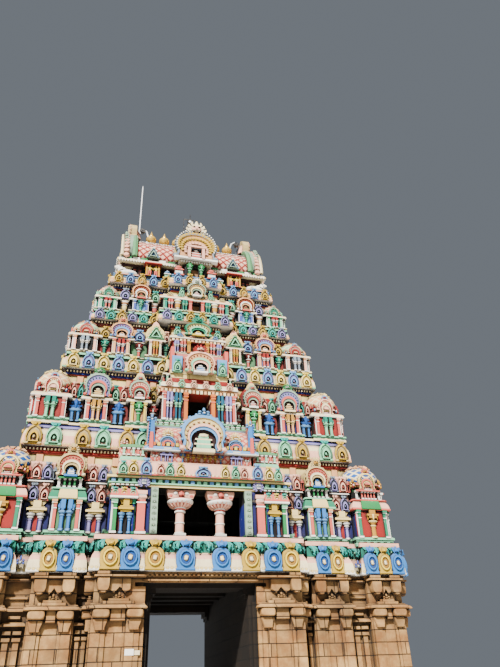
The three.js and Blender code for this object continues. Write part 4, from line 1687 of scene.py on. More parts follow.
BLUE_LION = "lake lake cream lake blue"
YELLOW_LION = "ochre yellow cream ochre gold"
GOLD_KUDU = "ochre sand blush ochre gold"
YELLOW_KUDU = "straw yellow cream yellow ochre"
BLUE_KUDU = "sky lilac sky sky lake"
GREEN_KUDU = "mint mint mint sea moss"
TEAL_KUDU = "sea mint sky mint sage"
PINK_KUDU = "blush pink blush blush pink"
LILAC_KUDU = "lilac grey lilac grey violet"


class Crown(Enum):
    """What stands on a bay of a tier."""

    DOME = "dome"
    NASI = "nasi"
    TENT = "tent"
    KUDU = "kudu"
    PAIR = "pair"
    TWO_ROWS = "two rows"


@dataclass(frozen=True)
class Style:
    """What a bay is made of, and its paints; the support is an ornament's name."""

    support: str
    columns: str
    wall: str
    crown: Crown
    crown_paints: tuple[str, ...] = ()
    frame: str = ""
    shelf: str = ""


@dataclass(frozen=True)
class Bay:
    """One bay of a tier's wall; a bay about the middle line starts at minus its end."""

    near: float
    far: float
    plane: float
    style: Style
    scale: float = 1.0

    @property
    def width(self) -> float:
        """The bay's width."""
        return self.far - self.near


@dataclass(frozen=True)
class Spot:
    """A bay in the making: the piece that takes it, the bay, and the faces that have it."""

    piece: Masonry
    bay: Bay
    sides: tuple[Side, ...]

    def lay(self, stamp: str, paints: str, offset: float, z: float, size: Sequence[float],
            out: float = 0.0) -> None:
        """Lays an ornament on the bay, and on its mirror bay.

        Args:
            stamp: The ornament's name.
            paints: The paint of each tone.
            offset: How far from the bay's middle.
            z: Its foot.
            size: Its width, depth and height.
            out: How far in front of the bay's plane its back stands.
        """
        bay = self.bay
        middle = (bay.near + bay.far) / 2
        self.piece.lay(stamp, paints, middle + offset, bay.plane + out, z, size, self.sides, bay.near >= 0)


@dataclass(frozen=True)
class Tier:
    """One storey of small shrines: wall, mouldings, columns and crowns.

    The levels are the floor, the base's top, the eave, the slab's top, the sill and the band's top. The dome
    has a radius and a top, and the gables half a width, a foot, a top and a crest.
    """

    number: int
    levels: tuple[float, float, float, float, float, float]
    front: tuple[Bay, ...]
    side: tuple[Bay, ...]
    middle: Point
    clear: float
    dome: Point
    dome_paints: tuple[str, str, str]
    gables: tuple[float, float, float, float]
    wall: Plan
    base_paints: str
    band: str

    @property
    def plan(self) -> Plan:
        """The stepped outline of the wall."""
        return Plan.stepped([self.middle, *[(bay.far, bay.plane) for bay in self.front]],
                            [(bay.far, bay.plane) for bay in self.side])

    def dress(self) -> None:
        """Builds the tier's pieces."""
        coats = (FINISHES.carving, FINISHES.latticed)
        walls = Masonry(f"tier_{self.number}_aedicules", "tier_plaster", *coats)
        self._mouldings(walls)
        for spot in self._spots(walls):
            self._bay(spot)
        walls.finish()
        crowns = Masonry(f"tier_{self.number}_crowns", "tier_plaster", *coats)
        for spot in self._spots(crowns):
            self._crown(spot)
        self._domes(crowns)
        crowns.finish()

    def _spots(self, piece: Masonry) -> Iterator[Spot]:
        """Every bay with the faces that have it.

        Args:
            piece: The piece to build in.

        Yields:
            One spot after another.
        """
        for bays, sides in ((self.front, FRONT_BACK), (self.side, ENDS)):
            for bay in bays:
                yield Spot(piece, bay, sides)

    def _mouldings(self, piece: Masonry) -> None:
        """Runs the base, eave and band mouldings.

        Args:
            piece: The piece to build in.
        """
        low, base, foot, slab, _, top = self.levels
        rise = base - low
        profile = steps((0.16, low - 0.02, low + rise * 0.36, 0),
                        (0.05, low + rise * 0.36, low + rise * 0.52, 1),
                        (0.13, low + rise * 0.52, low + rise * 0.74, 2), (0.18, low + rise * 0.74, base, 2))
        first = self.clear if self.number == 1 else 0.0
        # The base's middle fillet takes the middle paint, near-black on every tier: painted shade in the
        # groove.
        piece.course(self.plan, profile, self.base_paints, first)
        blocks = self.base_paints.split()[::-2]
        size = (0.16, 0.09, rise * 0.17)
        piece.row(self.plan.grown(0.04), "cube", blocks, low + rise * 0.36, 0.36, size, clear=first)
        if self.number > 1:
            piece.course(self.plan, eave(0.19, 0.14, foot, slab + 0.02, 3), "cream white", self.clear)
            # A near-black band under the eave: painted shadow.
            piece.course(self.plan, steps((0.07, foot - 0.09, foot + 0.02, 0)), "dark", self.clear)
        bands = steps((0.06, top - 0.31, top - 0.25, 1), (0.12, top - 0.25, top - 0.02, 0))
        piece.course(self.wall, bands, self.band + " pink")
        piece.row(self.wall.grown(0.12), "cube", ["cream"], top - 0.16, 0.15, (0.07, 0.08, 0.09))
        piece.row(self.wall, "cube", ["peach"], top - 0.7, 1.15, (0.3, 0.06, 0.39))

    def _bay(self, spot: Spot) -> None:
        """Dresses a bay of the wall.

        Args:
            spot: The bay.
        """
        bay, style = spot.bay, spot.bay.style
        foot, height = self.levels[1] - 0.02, self.levels[2] - self.levels[1] + 0.02
        spot.lay("cube", style.wall, 0.0, foot, (bay.width - 0.04, 0.1, height))
        post = min(0.22, bay.width * 0.21) if style.frame else 0.0
        if style.frame:
            for hand in (-1, 1):
                offset = hand * (bay.width / 2 - post / 2 - 0.01)
                spot.lay("jamb", style.frame, offset, foot, (hand * post, 0.22, height))
        clear = bay.width - 2 * post
        count = max(1, round(clear / 1.25))
        wide = min(clear / count * 0.9, height * (0.46 if style.support == "column" else 0.62))
        for k in range(count):
            spot.lay(style.support, style.columns, clear * ((k + 0.5) / count - 0.5), foot,
                     (wide, 0.3, height))
        if style.shelf:
            self._shelf(spot)

    def _shelf(self, spot: Spot) -> None:
        """Sets the cornice slab over a bay, with the little arcade on it.

        Args:
            spot: The bay.
        """
        _, _, foot, slab, sill, _ = self.levels
        body, lip, centre, post = spot.bay.style.shelf.split()
        width, gap = spot.bay.width, sill - slab
        wide = width * 0.5
        count = max(3, round(wide / 0.17))
        rows = [
            ("hood", f"{body} {lip}", 0.0, foot, (width + 0.3, 0.52, (slab - foot) * 0.9)),
            ("cube", lip, 0.0, slab - 0.07, (width + 0.16, 0.46, 0.06)),
            ("hood", centre, 0.0, foot + 0.02, (wide * 1.25, 0.57, slab - foot)),
            # Near-black sheet behind the little posts: painted shade.
            ("cube", "dark", 0.0, slab - 0.02, (width * 0.84, 0.3, gap + 0.02)),
            *[("small_post", post + " white", wide * ((k + 0.5) / count - 0.5), slab, (0.11, 0.46, gap))
              for k in range(count)],
            *[("small_post", "white", hand * width * 0.36, slab, (0.15, 0.42, gap)) for hand in (-1, 1)],
            ("cube", post, 0.0, sill - 0.06, (width * 0.8, 0.5, 0.06)),
        ]
        for row in rows:
            spot.lay(*row, -0.3)

    def _crown(self, spot: Spot) -> None:
        """Sets what stands on a bay.

        Args:
            spot: The bay.
        """
        bay, crown, paints = spot.bay, spot.bay.style.crown, spot.bay.style.crown_paints
        low, sill = self.levels[2], self.levels[4]
        half, foot, top, peak = self.gables
        if crown is Crown.NASI:
            wide, rise, crest = [length * bay.scale for length in (half * 2.0, top - foot, peak - top)]
            spot.lay("cube", paints[0].split()[1], 0.0, foot, (wide * 0.9, 0.35, rise * 0.55), -0.31)
            spot.lay("nasi", paints[0], 0.0, foot, (wide, 0.3, rise), 0.02)
            spot.lay("mask", paints[1], 0.0, foot + rise * 0.94, (wide * 0.42, 0.26, crest + rise * 0.08),
                     0.02)
        elif crown is Crown.TENT:
            spot.lay("tent", paints[0], 0.0, foot, (half * 1.5, 0.28, (top - foot) * 0.95))
        elif crown is Crown.KUDU:
            spot.lay("medallion", paints[0], 0.0, sill,
                     (min(0.6, bay.width * 0.8), 0.3, (peak - sill) * 0.6), 0.02)
        elif crown is Crown.PAIR:
            self._pair(spot, paints, sill, (peak - sill) * 0.55)
        elif crown is Crown.TWO_ROWS:
            wide = bay.width * 0.96
            self._pair(spot, paints, low, 0.78)
            spot.lay("cube", "white", 0.0, low + 0.78, (wide, 0.36, 0.05), -0.12)
            spot.lay("cube", paints[0].split()[0], 0.0, low - 0.02, (wide, 0.2, 1.7), -0.12)
            self._pair(spot, paints[::-1], low + 0.89, 0.8)

    @staticmethod
    def _pair(spot: Spot, paints: Sequence[str], foot: float, rise: float) -> None:
        """Sets two medallions side by side, with a little portal beside each.

        Args:
            spot: The bay.
            paints: The paints of each medallion.
            foot: Where they stand.
            rise: How tall they are.
        """
        wide = spot.bay.width * 0.4
        for hand, names in zip((-1, 1), paints):
            spot.lay("medallion", names, hand * wide * 0.5, foot, (wide, 0.34, rise))
            plate, ring, _, _, hollow = names.split()
            spot.lay("portal", f"{ring} {hollow} {plate}", hand * wide * 1.16, foot,
                     (wide * 0.4, 0.24, rise * 0.7))

    def _domes(self, piece: Masonry) -> None:
        """Sets the corner domes, each with small gables and shell-shaped lobes.

        Args:
            piece: The piece to build in.
        """
        corner, (radius, top), foot = self.front[-1], self.dome, self.levels[4]
        x, y = (corner.near + corner.far) / 2, corner.plane - corner.width / 2
        wide, tall = radius * 2.36, top - foot
        skin, gable_paints, crest = self.dome_paints
        petal, _, lobe = crest.split()
        piece.lay("dome", skin, x, y - wide / 2, foot, (wide, wide, tall * 1.02))
        for at, plane, sides in ((x, y + radius * 0.98, FRONT_BACK), (y, x + radius * 0.98, ENDS)):
            piece.lay("nasi", gable_paints, at, plane, foot, (radius * 1.08, 0.24, tall * 0.6), sides)
            piece.lay("mask", crest, at, plane, foot + tall * 0.552, (radius * 0.55, 0.2, radius * 0.42),
                      sides)
            for hand in (-1, 1):
                piece.lay("flower", f"{lobe} white {petal}", at + hand * radius * 0.86, plane - 0.12,
                          foot + 0.04,
                          (radius * 0.5, 0.24, tall * 0.42), sides)


def first_tier() -> Tier:
    """The first tier.

    Returns:
        The tier.
    """
    # The great gable's field, its fourth paint, is near-black: painted shade in its opening.
    great = ("sand pink cream dark sand lake white", "gold dark sand")
    recess = Style("twin", "lilac white straw rose", "navy", Crown.TWO_ROWS, (PINK_KUDU, LILAC_KUDU))
    corner = Style("column", "gold straw gold", "rose", Crown.DOME, (), "jade white jade",
                   "blush pink green pink")
    house = Style("double", "lake sky lake pine", "moss", Crown.NASI, great, "pink white peach",
                  "jade mint straw green")
    return Tier(
        1, (7.0, 7.36, 8.57, 9.08, 9.5, 11.12),
        (Bay(3.8, 4.86, 3.8, recess), Bay(4.86, 6.05, 4.15, house), Bay(6.05, 7.15, 3.8, recess),
         Bay(7.15, 8.7, 4.2, corner)),
        (Bay(-1.5, 1.5, 8.85, house, 1.25), Bay(1.5, 2.65, 8.35, recess), Bay(2.65, 4.2, 8.7, corner)),
        (3.8, 4.55), 3.8, (0.76, 10.93), ("blue peach pink", "straw sand pink white gold white pink",
                                          "gold dark pink"),
        (0.555, 9.56, 10.56, 10.96), Plan.cross(7.4, 3.15, 2.0, 3.65), "mint dark mint", "rose",
    )


def second_tier() -> Tier:
    """The second tier.

    Returns:
        The tier.
    """
    sage = ("sage lilac pink brown teal cream gold", "sage dark green")
    small = ("sage blush rose pink pink white pink", "pink dark sage")
    inner = Style("mushroom", "lake sky blue dark", "rose", Crown.PAIR, (PINK_KUDU, GREEN_KUDU))
    outer = replace(inner, crown_paints=(TEAL_KUDU, PINK_KUDU))
    corner = Style("double", "mint mint teal dark", "rose", Crown.DOME, (), "pink white blush")
    house = Style("double", "peach straw gold navy", "navy", Crown.NASI, sage, "pink white peach")
    return Tier(
        2, (12.24, 12.5, 13.52, 13.72, 13.68, 15.42),
        (Bay(1.8, 2.4, 2.9, Style("column", "pink white rose", "red", Crown.KUDU, (GOLD_KUDU,))),
         Bay(2.4, 3.2, 3.25, Style("column", "green mint green", "peach", Crown.NASI, small,
                                   "yellow cream yellow"), 0.8),
         Bay(3.2, 4.2, 2.85, inner), Bay(4.2, 5.25, 3.15, house), Bay(5.25, 6.03, 2.85, outer),
         Bay(6.03, 7.45, 3.2, corner)),
        (Bay(-1.0, 1.0, 7.6, house, 1.1), Bay(1.0, 1.78, 7.15, outer), Bay(1.78, 3.2, 7.45, corner)),
        (1.8, 3.75), 1.8, (0.69, 15.2), ("peach straw blush", "blush pink cream cream rose white pink",
                                         "rose dark sky"),
        (0.61, 13.7, 14.93, 15.25), Plan.cross(6.2, 2.38, 1.5, 3.0), "cream dark mint", "navy",
    )


def third_tier() -> Tier:
    """The third tier.

    Returns:
        The tier.
    """
    # The gable's field, its fourth paint, is near-black: painted shade in its opening.
    grey = ("peach lilac sky dark pink peach white", "pink dark peach")
    inner = Style("column", "teal mint teal", "rose", Crown.KUDU, (PINK_KUDU,))
    outer = replace(inner, crown_paints=(GOLD_KUDU,))
    corner = Style("double", "grey white grey dark", "dark", Crown.DOME, (), "blush white peach")
    house = Style("double", "pink white rose dark", "lilac", Crown.NASI, grey, "peach cream pink")
    tents = Style("double", "orange yellow gold dark", "brown", Crown.TENT, ("mint moss straw",),
                  "cream white blush")
    return Tier(
        3, (16.22, 16.46, 17.3, 17.45, 17.4, 18.72),
        (Bay(1.28, 1.78, 2.35, inner), Bay(1.78, 2.45, 2.65, tents),
         Bay(2.45, 3.38, 2.25, Style("column", "pink white red", "moss", Crown.KUDU, (BLUE_KUDU,))),
         Bay(3.38, 4.3, 2.5, house), Bay(4.3, 4.98, 2.25, outer), Bay(4.98, 6.25, 2.5, corner)),
        (Bay(-0.7, 0.7, 6.35, house), Bay(0.7, 1.23, 5.95, outer), Bay(1.23, 2.5, 6.25, corner)),
        (1.28, 3.2), 0.0, (0.6, 18.52), ("mint peach cream", "pink blush rose dark white white pink",
                                         "peach dark sky"),
        (0.56, 17.42, 18.32, 18.66), Plan.cross(5.15, 1.85, 1.25, 2.35), "mint dark cream", "red",
    )


def fourth_tier() -> Tier:
    """The fourth tier.

    Returns:
        The tier.
    """
    pink = ("peach rose white cream gold pink green", "sand dark gold")
    # The recess bays' walls are near-black: painted shade.
    inner = Style("vase", "pink white blush", "dark", Crown.KUDU, (GREEN_KUDU,))
    outer = Style("vase", "straw white peach", "dark", Crown.KUDU, (LILAC_KUDU,))
    corner = Style("double", "pink white rose dark", "teal", Crown.DOME, (), "mint white green")
    house = Style("column", "teal mint teal", "sky", Crown.NASI, pink, "violet white sky")
    return Tier(
        4, (19.27, 19.46, 20.14, 20.3, 20.27, 21.41),
        (Bay(1.84, 2.52, 1.8, inner), Bay(2.52, 3.42, 2.05, house), Bay(3.42, 4.2, 1.75, outer),
         Bay(4.2, 5.22, 1.95, corner)),
        (Bay(-0.45, 0.45, 5.3, house, 0.85), Bay(0.45, 0.93, 4.95, outer), Bay(0.93, 1.95, 5.22, corner)),
        (1.84, 2.6), 0.0, (0.5, 21.24), ("pink blush cream", "mint green teal green white mint white",
                                         "mint dark blush"),
        (0.5, 20.28, 21.21, 21.62), Plan.cross(4.35, 1.55, 1.3, 2.05), "mint dark cream", "navy",
    )


# Cornices

Medals = Sequence[tuple[float, float, str]]


@dataclass(frozen=True)
class Cornice:
    """A drooping cornice with medallions, fillets, lip beads and dentils beneath.

    The levels are its underside, its top, the floor over it and its medallions' tips. Medallions have an x, a
    width and paints, on the middle bay, beside it and on the ends, or else they fill a row of a pitch.
    """

    number: int
    plan: Plan
    lips: Point
    draw: float
    levels: tuple[float, float, float, float]
    fillets: str
    curve: str
    middle: Medals = ()
    front: Medals = ()
    ends: Medals = ()
    pitch: float = 0.0
    row: tuple[str, ...] = ()

    def dress(self) -> None:
        """Builds the cornice's piece."""
        piece = Masonry(f"cornice_{self.number}_ornament", "cornice_plaster")
        low, top, floor, crest = self.levels
        piece.course(self.plan, eave(0.015, self.draw, low + 0.01, top + 0.01, 5), self.curve)
        piece.row(self.plan, "cube", ["straw"], low + 0.07, 0.17, (0.1, 0.035, 0.09))
        step = (floor - top) / 4
        stripes = [(0.02 + 0.04 * (k % 2), top + step * k, top + step * (k + 1), k) for k in range(4)]
        piece.course(self.plan.grown(-self.draw - 0.02), steps(*stripes), self.fillets)
        if self.row:
            size = (self.pitch * 0.84, 0.3, crest - low)
            piece.row(self.plan.grown(-0.12), "medallion", self.row, low + 0.02, self.pitch, size, 0.5)
        stamp = "kudu" if self.number == 1 else "medallion"
        outer, end = self.lips[1], self.plan.corners[-1][0]
        for medals, lip, sides in ((self.middle, self.lips[0], FRONT_BACK), (self.front, outer, FRONT_BACK),
                                   (self.ends, end, ENDS)):
            for x, width, paints in medals:
                piece.lay(stamp, paints, x, lip - 0.12, low + 0.02, (width, 0.32, crest - low), sides)
        if self.number == 1:
            self._swirls(piece, top - low)
        piece.finish()

    def _swirls(self, piece: Masonry, rise: float) -> None:
        """Sets two facing swirls in each wide gap between medallions.

        Args:
            piece: The piece to build in.
            rise: The cornice's height.
        """
        for medals, lip, sides in ((self.front, self.lips[1], FRONT_BACK),
                                   (self.ends, self.plan.corners[-1][0], ENDS)):
            for (left, *_), (right, *_) in zip(medals, medals[1:]):
                for hand in (-1, 1) if right - left > 1.05 else ():
                    x, size = (left + right) / 2 + hand * 0.2, (0.38, 0.14, rise * 0.6)
                    piece.lay("flower", "grey white violet", x, lip - 0.14, self.levels[0] + rise * 0.3,
                              size, sides)


def medals(width: float, pair: tuple[str, str], *places: float) -> Medals:
    """Medallions of one width, their two palettes in turn, at places along a wall."""
    return [(x, width, pair[k % 2]) for k, x in enumerate(places)]


GROUND_PLAN = Plan.stepped(
    ((4.1, 4.8), (4.7, 4.05), (6.35, 4.35), (7.25, 4.0), (8.8, 4.3)), ((1.7, 9.0), (2.8, 8.45), (4.3, 8.8))
)


def cornices() -> tuple[Cornice, ...]:
    """The five cornices, from the ground storey up.

    Returns:
        The cornices.
    """
    lions, kudus = (BLUE_LION, YELLOW_LION), (GOLD_KUDU, GREEN_KUDU)
    ends = [*medals(0.7, lions, 0.0, 0.95), *medals(0.7, lions[::-1], 3.25, 3.95)]
    front = [*medals(0.62, lions, 5.24, 5.86), *medals(0.62, lions, 7.46, 8.08, 8.7)]
    return (
        # Cornice 1's upper fillets, behind the leaf frieze, are near-black: painted shade.
        Cornice(1, GROUND_PLAN.grown(0.25), (5.05, 4.58), 0.2, (5.76, 6.46, 7.0, 6.93), "teal dark dark dark",
                "cream white blush", medals(0.76, lions, 0.72, 1.93, 2.87, 3.62), front, ends),
        Cornice(2, Plan.cross(7.68, 3.45, 2.05, 3.95), (3.95, 3.45), 0.17, (11.12, 11.9, 12.3, 12.24),
                "white lilac navy cream", "blush peach cream", (),
                medals(0.72, kudus, 7.21, 6.37, 5.15, 4.28, 3.24, 2.5),
                medals(0.72, kudus, 0.0, 1.2, 2.5)),
        Cornice(3, Plan.cross(6.51, 2.7, 1.48, 3.4), (3.4, 2.7), 0.17, (15.42, 16.05, 16.25, 16.38),
                "white green white mint", "cream mint blush", pitch=0.74, row=(YELLOW_KUDU, BLUE_KUDU)),
        Cornice(4, Plan.cross(5.46, 2.14, 2.02, 2.78), (2.78, 2.14), 0.17, (18.72, 19.15, 19.3, 19.44),
                "white lilac white sage", "blush peach mint", pitch=0.62,
                row=(GOLD_KUDU, TEAL_KUDU, LILAC_KUDU)),
        Cornice(5, Plan.cross(4.7, 1.88, 1.48, 2.45), (2.45, 1.88), 0.17, (21.41, 21.88, 22.15, 22.2),
                "white sky white sky", "peach blush cream", pitch=0.6, row=(GOLD_KUDU, BLUE_KUDU)),
    )


@dataclass(frozen=True)
class Frieze:
    """The row of curled leaves over the first cornice."""

    foot: float = 6.46
    height: float = 0.5
    pitch: float = 0.42

    def dress(self) -> None:
        """Builds the frieze."""
        plan = GROUND_PLAN.grown(0.04)
        piece = Masonry("leaf_frieze", "cornice_plaster")
        size = (self.pitch * 1.04, 0.3, self.height)
        piece.row(plan, "scroll", ("sea teal teal", "sea mint teal"), self.foot, self.pitch, size, 0.2)
        # The thin top fillet is near-black: painted shade at the joint with the tier above.
        piece.course(plan.grown(0.02), steps((0.12, 6.93, 7.1, 0), (0.03, 7.1, 7.14, 1)), "blush dark")
        piece.finish()


# Ground storey


@dataclass(frozen=True)
class GroundStorey:
    """The granite storey: base, cushioned pilasters, string courses, corbels and the passage's beams."""

    foot: float = 1.12
    string: Point = (4.46, 4.62)
    head: float = 5.78
    opening: float = 2.24
    beams: int = 5
    front_plane: float = 4.8
    recesses: tuple[float, ...] = (4.05, 4.0, 8.45)

    def dress(self) -> None:
        """Builds the storey's pieces."""
        self._mouldings()
        self._walls()
        self._passage()
        signs = Masonry("base_signs", "rod_steel")
        signs.lay("cube", "white", -2.67, 4.86, 2.94, (0.33, 0.035, 0.21), FRONT, False)
        signs.lay("cube", "cream", -2.39, 4.86, 2.95, (0.2, 0.03, 0.15), FRONT, False)
        signs.finish()

    def _clear(self, run: Run) -> float:
        """Where dressing may start along a stretch of wall."""
        return self.opening if run.plane == self.front_plane else run.low

    def _mouldings(self) -> None:
        """Runs the base and head mouldings."""
        piece = Masonry("ground_storey_mouldings", "granite", FINISHES.granite)
        bulge = [(0.08 + 0.12 * math.sin(math.pi * k / 6), 0.52 + 0.4 * k / 6, 0) for k in range(7)]
        base = [(0.16, 0.0, 0), (0.16, 0.36, 0), (0.09, 0.4, 0), (0.09, 0.5, 0), *bulge, (0.15, 0.96, 0),
                (0.15, 1.13, 0)]
        head = steps((0.06, self.head - 0.2, self.head - 0.1, 0), (0.12, self.head - 0.1, self.head, 0))
        for run in GROUND_PLAN.runs():
            for profile, low in ((base, self._clear(run)), (head, run.low)):
                piece.moulding(run, profile, "stone", low,
                               (0, run.mitres[1]) if low > run.low else run.mitres)
        piece.finish()

    def _walls(self) -> None:
        """Dresses the outer walls."""
        piece = Masonry("ground_storey_carving", "granite", FINISHES.granite)
        for run in GROUND_PLAN.runs():
            low = self._clear(run)
            middle, width = (low + run.high) / 2, run.high - low
            if width >= 0.5:
                rows = self._recess(width) if run.plane in self.recesses else self._bay(width, low == run.low)
                for stamp, offset, z, *size in rows:
                    piece.lay(stamp, "stone", middle + offset, run.plane, z, size, run.sides)
        piece.finish()

    def _bay(self, width: float, whole: bool) -> Iterator[tuple]:
        """A bay's stones: flat shafts, cushions, string course, a flower on a low slab and hanging brackets.

        Args:
            width: The bay's width.
            whole: Whether it has a bracket at its inner edge too.

        Yields:
            The name, offset, foot, width, depth and height of each.
        """
        foot, at = self.string
        for hand in (-1, 1):
            edge = hand * (width / 2 - 0.32)
            yield "shaft", edge, self.foot, 0.56, 0.07, 2.72
            yield "cushion", edge, 3.76, 0.62, 0.34, 0.7
            if whole or hand > 0:
                yield "bracket", edge, 4.98, 0.46, 0.34, 0.6
                yield "cube", edge, 5.64, 0.5, 0.3, 0.11
        yield "cube", 0.0, 4.06, width - 1.3, 0.2, 0.4
        yield "hood", 0.0, foot, width + 0.22, 0.38, at - foot
        yield "cube", 0.0, at, width * 0.62, 0.26, 0.1
        yield "cube", 0.0, at + 0.1, width * 0.42, 0.2, 0.09
        yield "flower", 0.0, at + 0.14, 0.4, 0.22, 0.3
        yield "apron", 0.0, 5.0, width - 1.04, 0.16, 0.56
        yield "cube", 0.0, 5.55, width + 0.06, 0.4, 0.06

    def _recess(self, width: float) -> Iterator[tuple]:
        """A recess's stones: paired thin pilasters with stacked caps under a small slab.

        Args:
            width: The recess's width.

        Yields:
            The name, offset, foot, width, depth and height of each.
        """
        for x in (-width * 0.2, width * 0.2):
            yield "shaft", x, self.foot, width * 0.3, 0.14, 2.4
            yield "cube", x, 3.5, width * 0.34, 0.18, 0.12
            yield "cube", x, 3.72, width * 0.34, 0.18, 0.12
        yield "hood", 0.0, 3.98, width * 0.96, 0.3, 0.14
        yield "cube", 0.0, 4.24, width * 0.5, 0.12, 0.1
        yield "cube", 0.0, 4.9, width * 0.98, 0.1, 0.08
        yield "cube", 0.0, 5.5, width * 0.98, 0.24, 0.08

    def _passage(self) -> None:
        """Sets the passage's beams and the pilasters at its mouths."""
        piece = Masonry("passage_beams", "lintel_stone", FINISHES.shaded_granite)
        for k in range(self.beams):
            piece.lay("cube", "stone", 0.0, 2.6 - 5.2 * k / (self.beams - 1), 5.5, (3.92, 0.42, 0.24), FRONT)
        piece.lay("shaft", "stone", 2.17, 4.4, 1.12, (0.34, 0.22, 3.6))
        piece.lay("cube", "stone", 0.0, 4.8, 5.44, (4.6, 0.07, 0.06))
        for k in range(13):
            piece.lay("cube", "stone", 0.18 * k, 4.84, 5.62, (0.1, 0.1, 0.06))
        piece.finish()


# The large shrine over the first tier's doorway


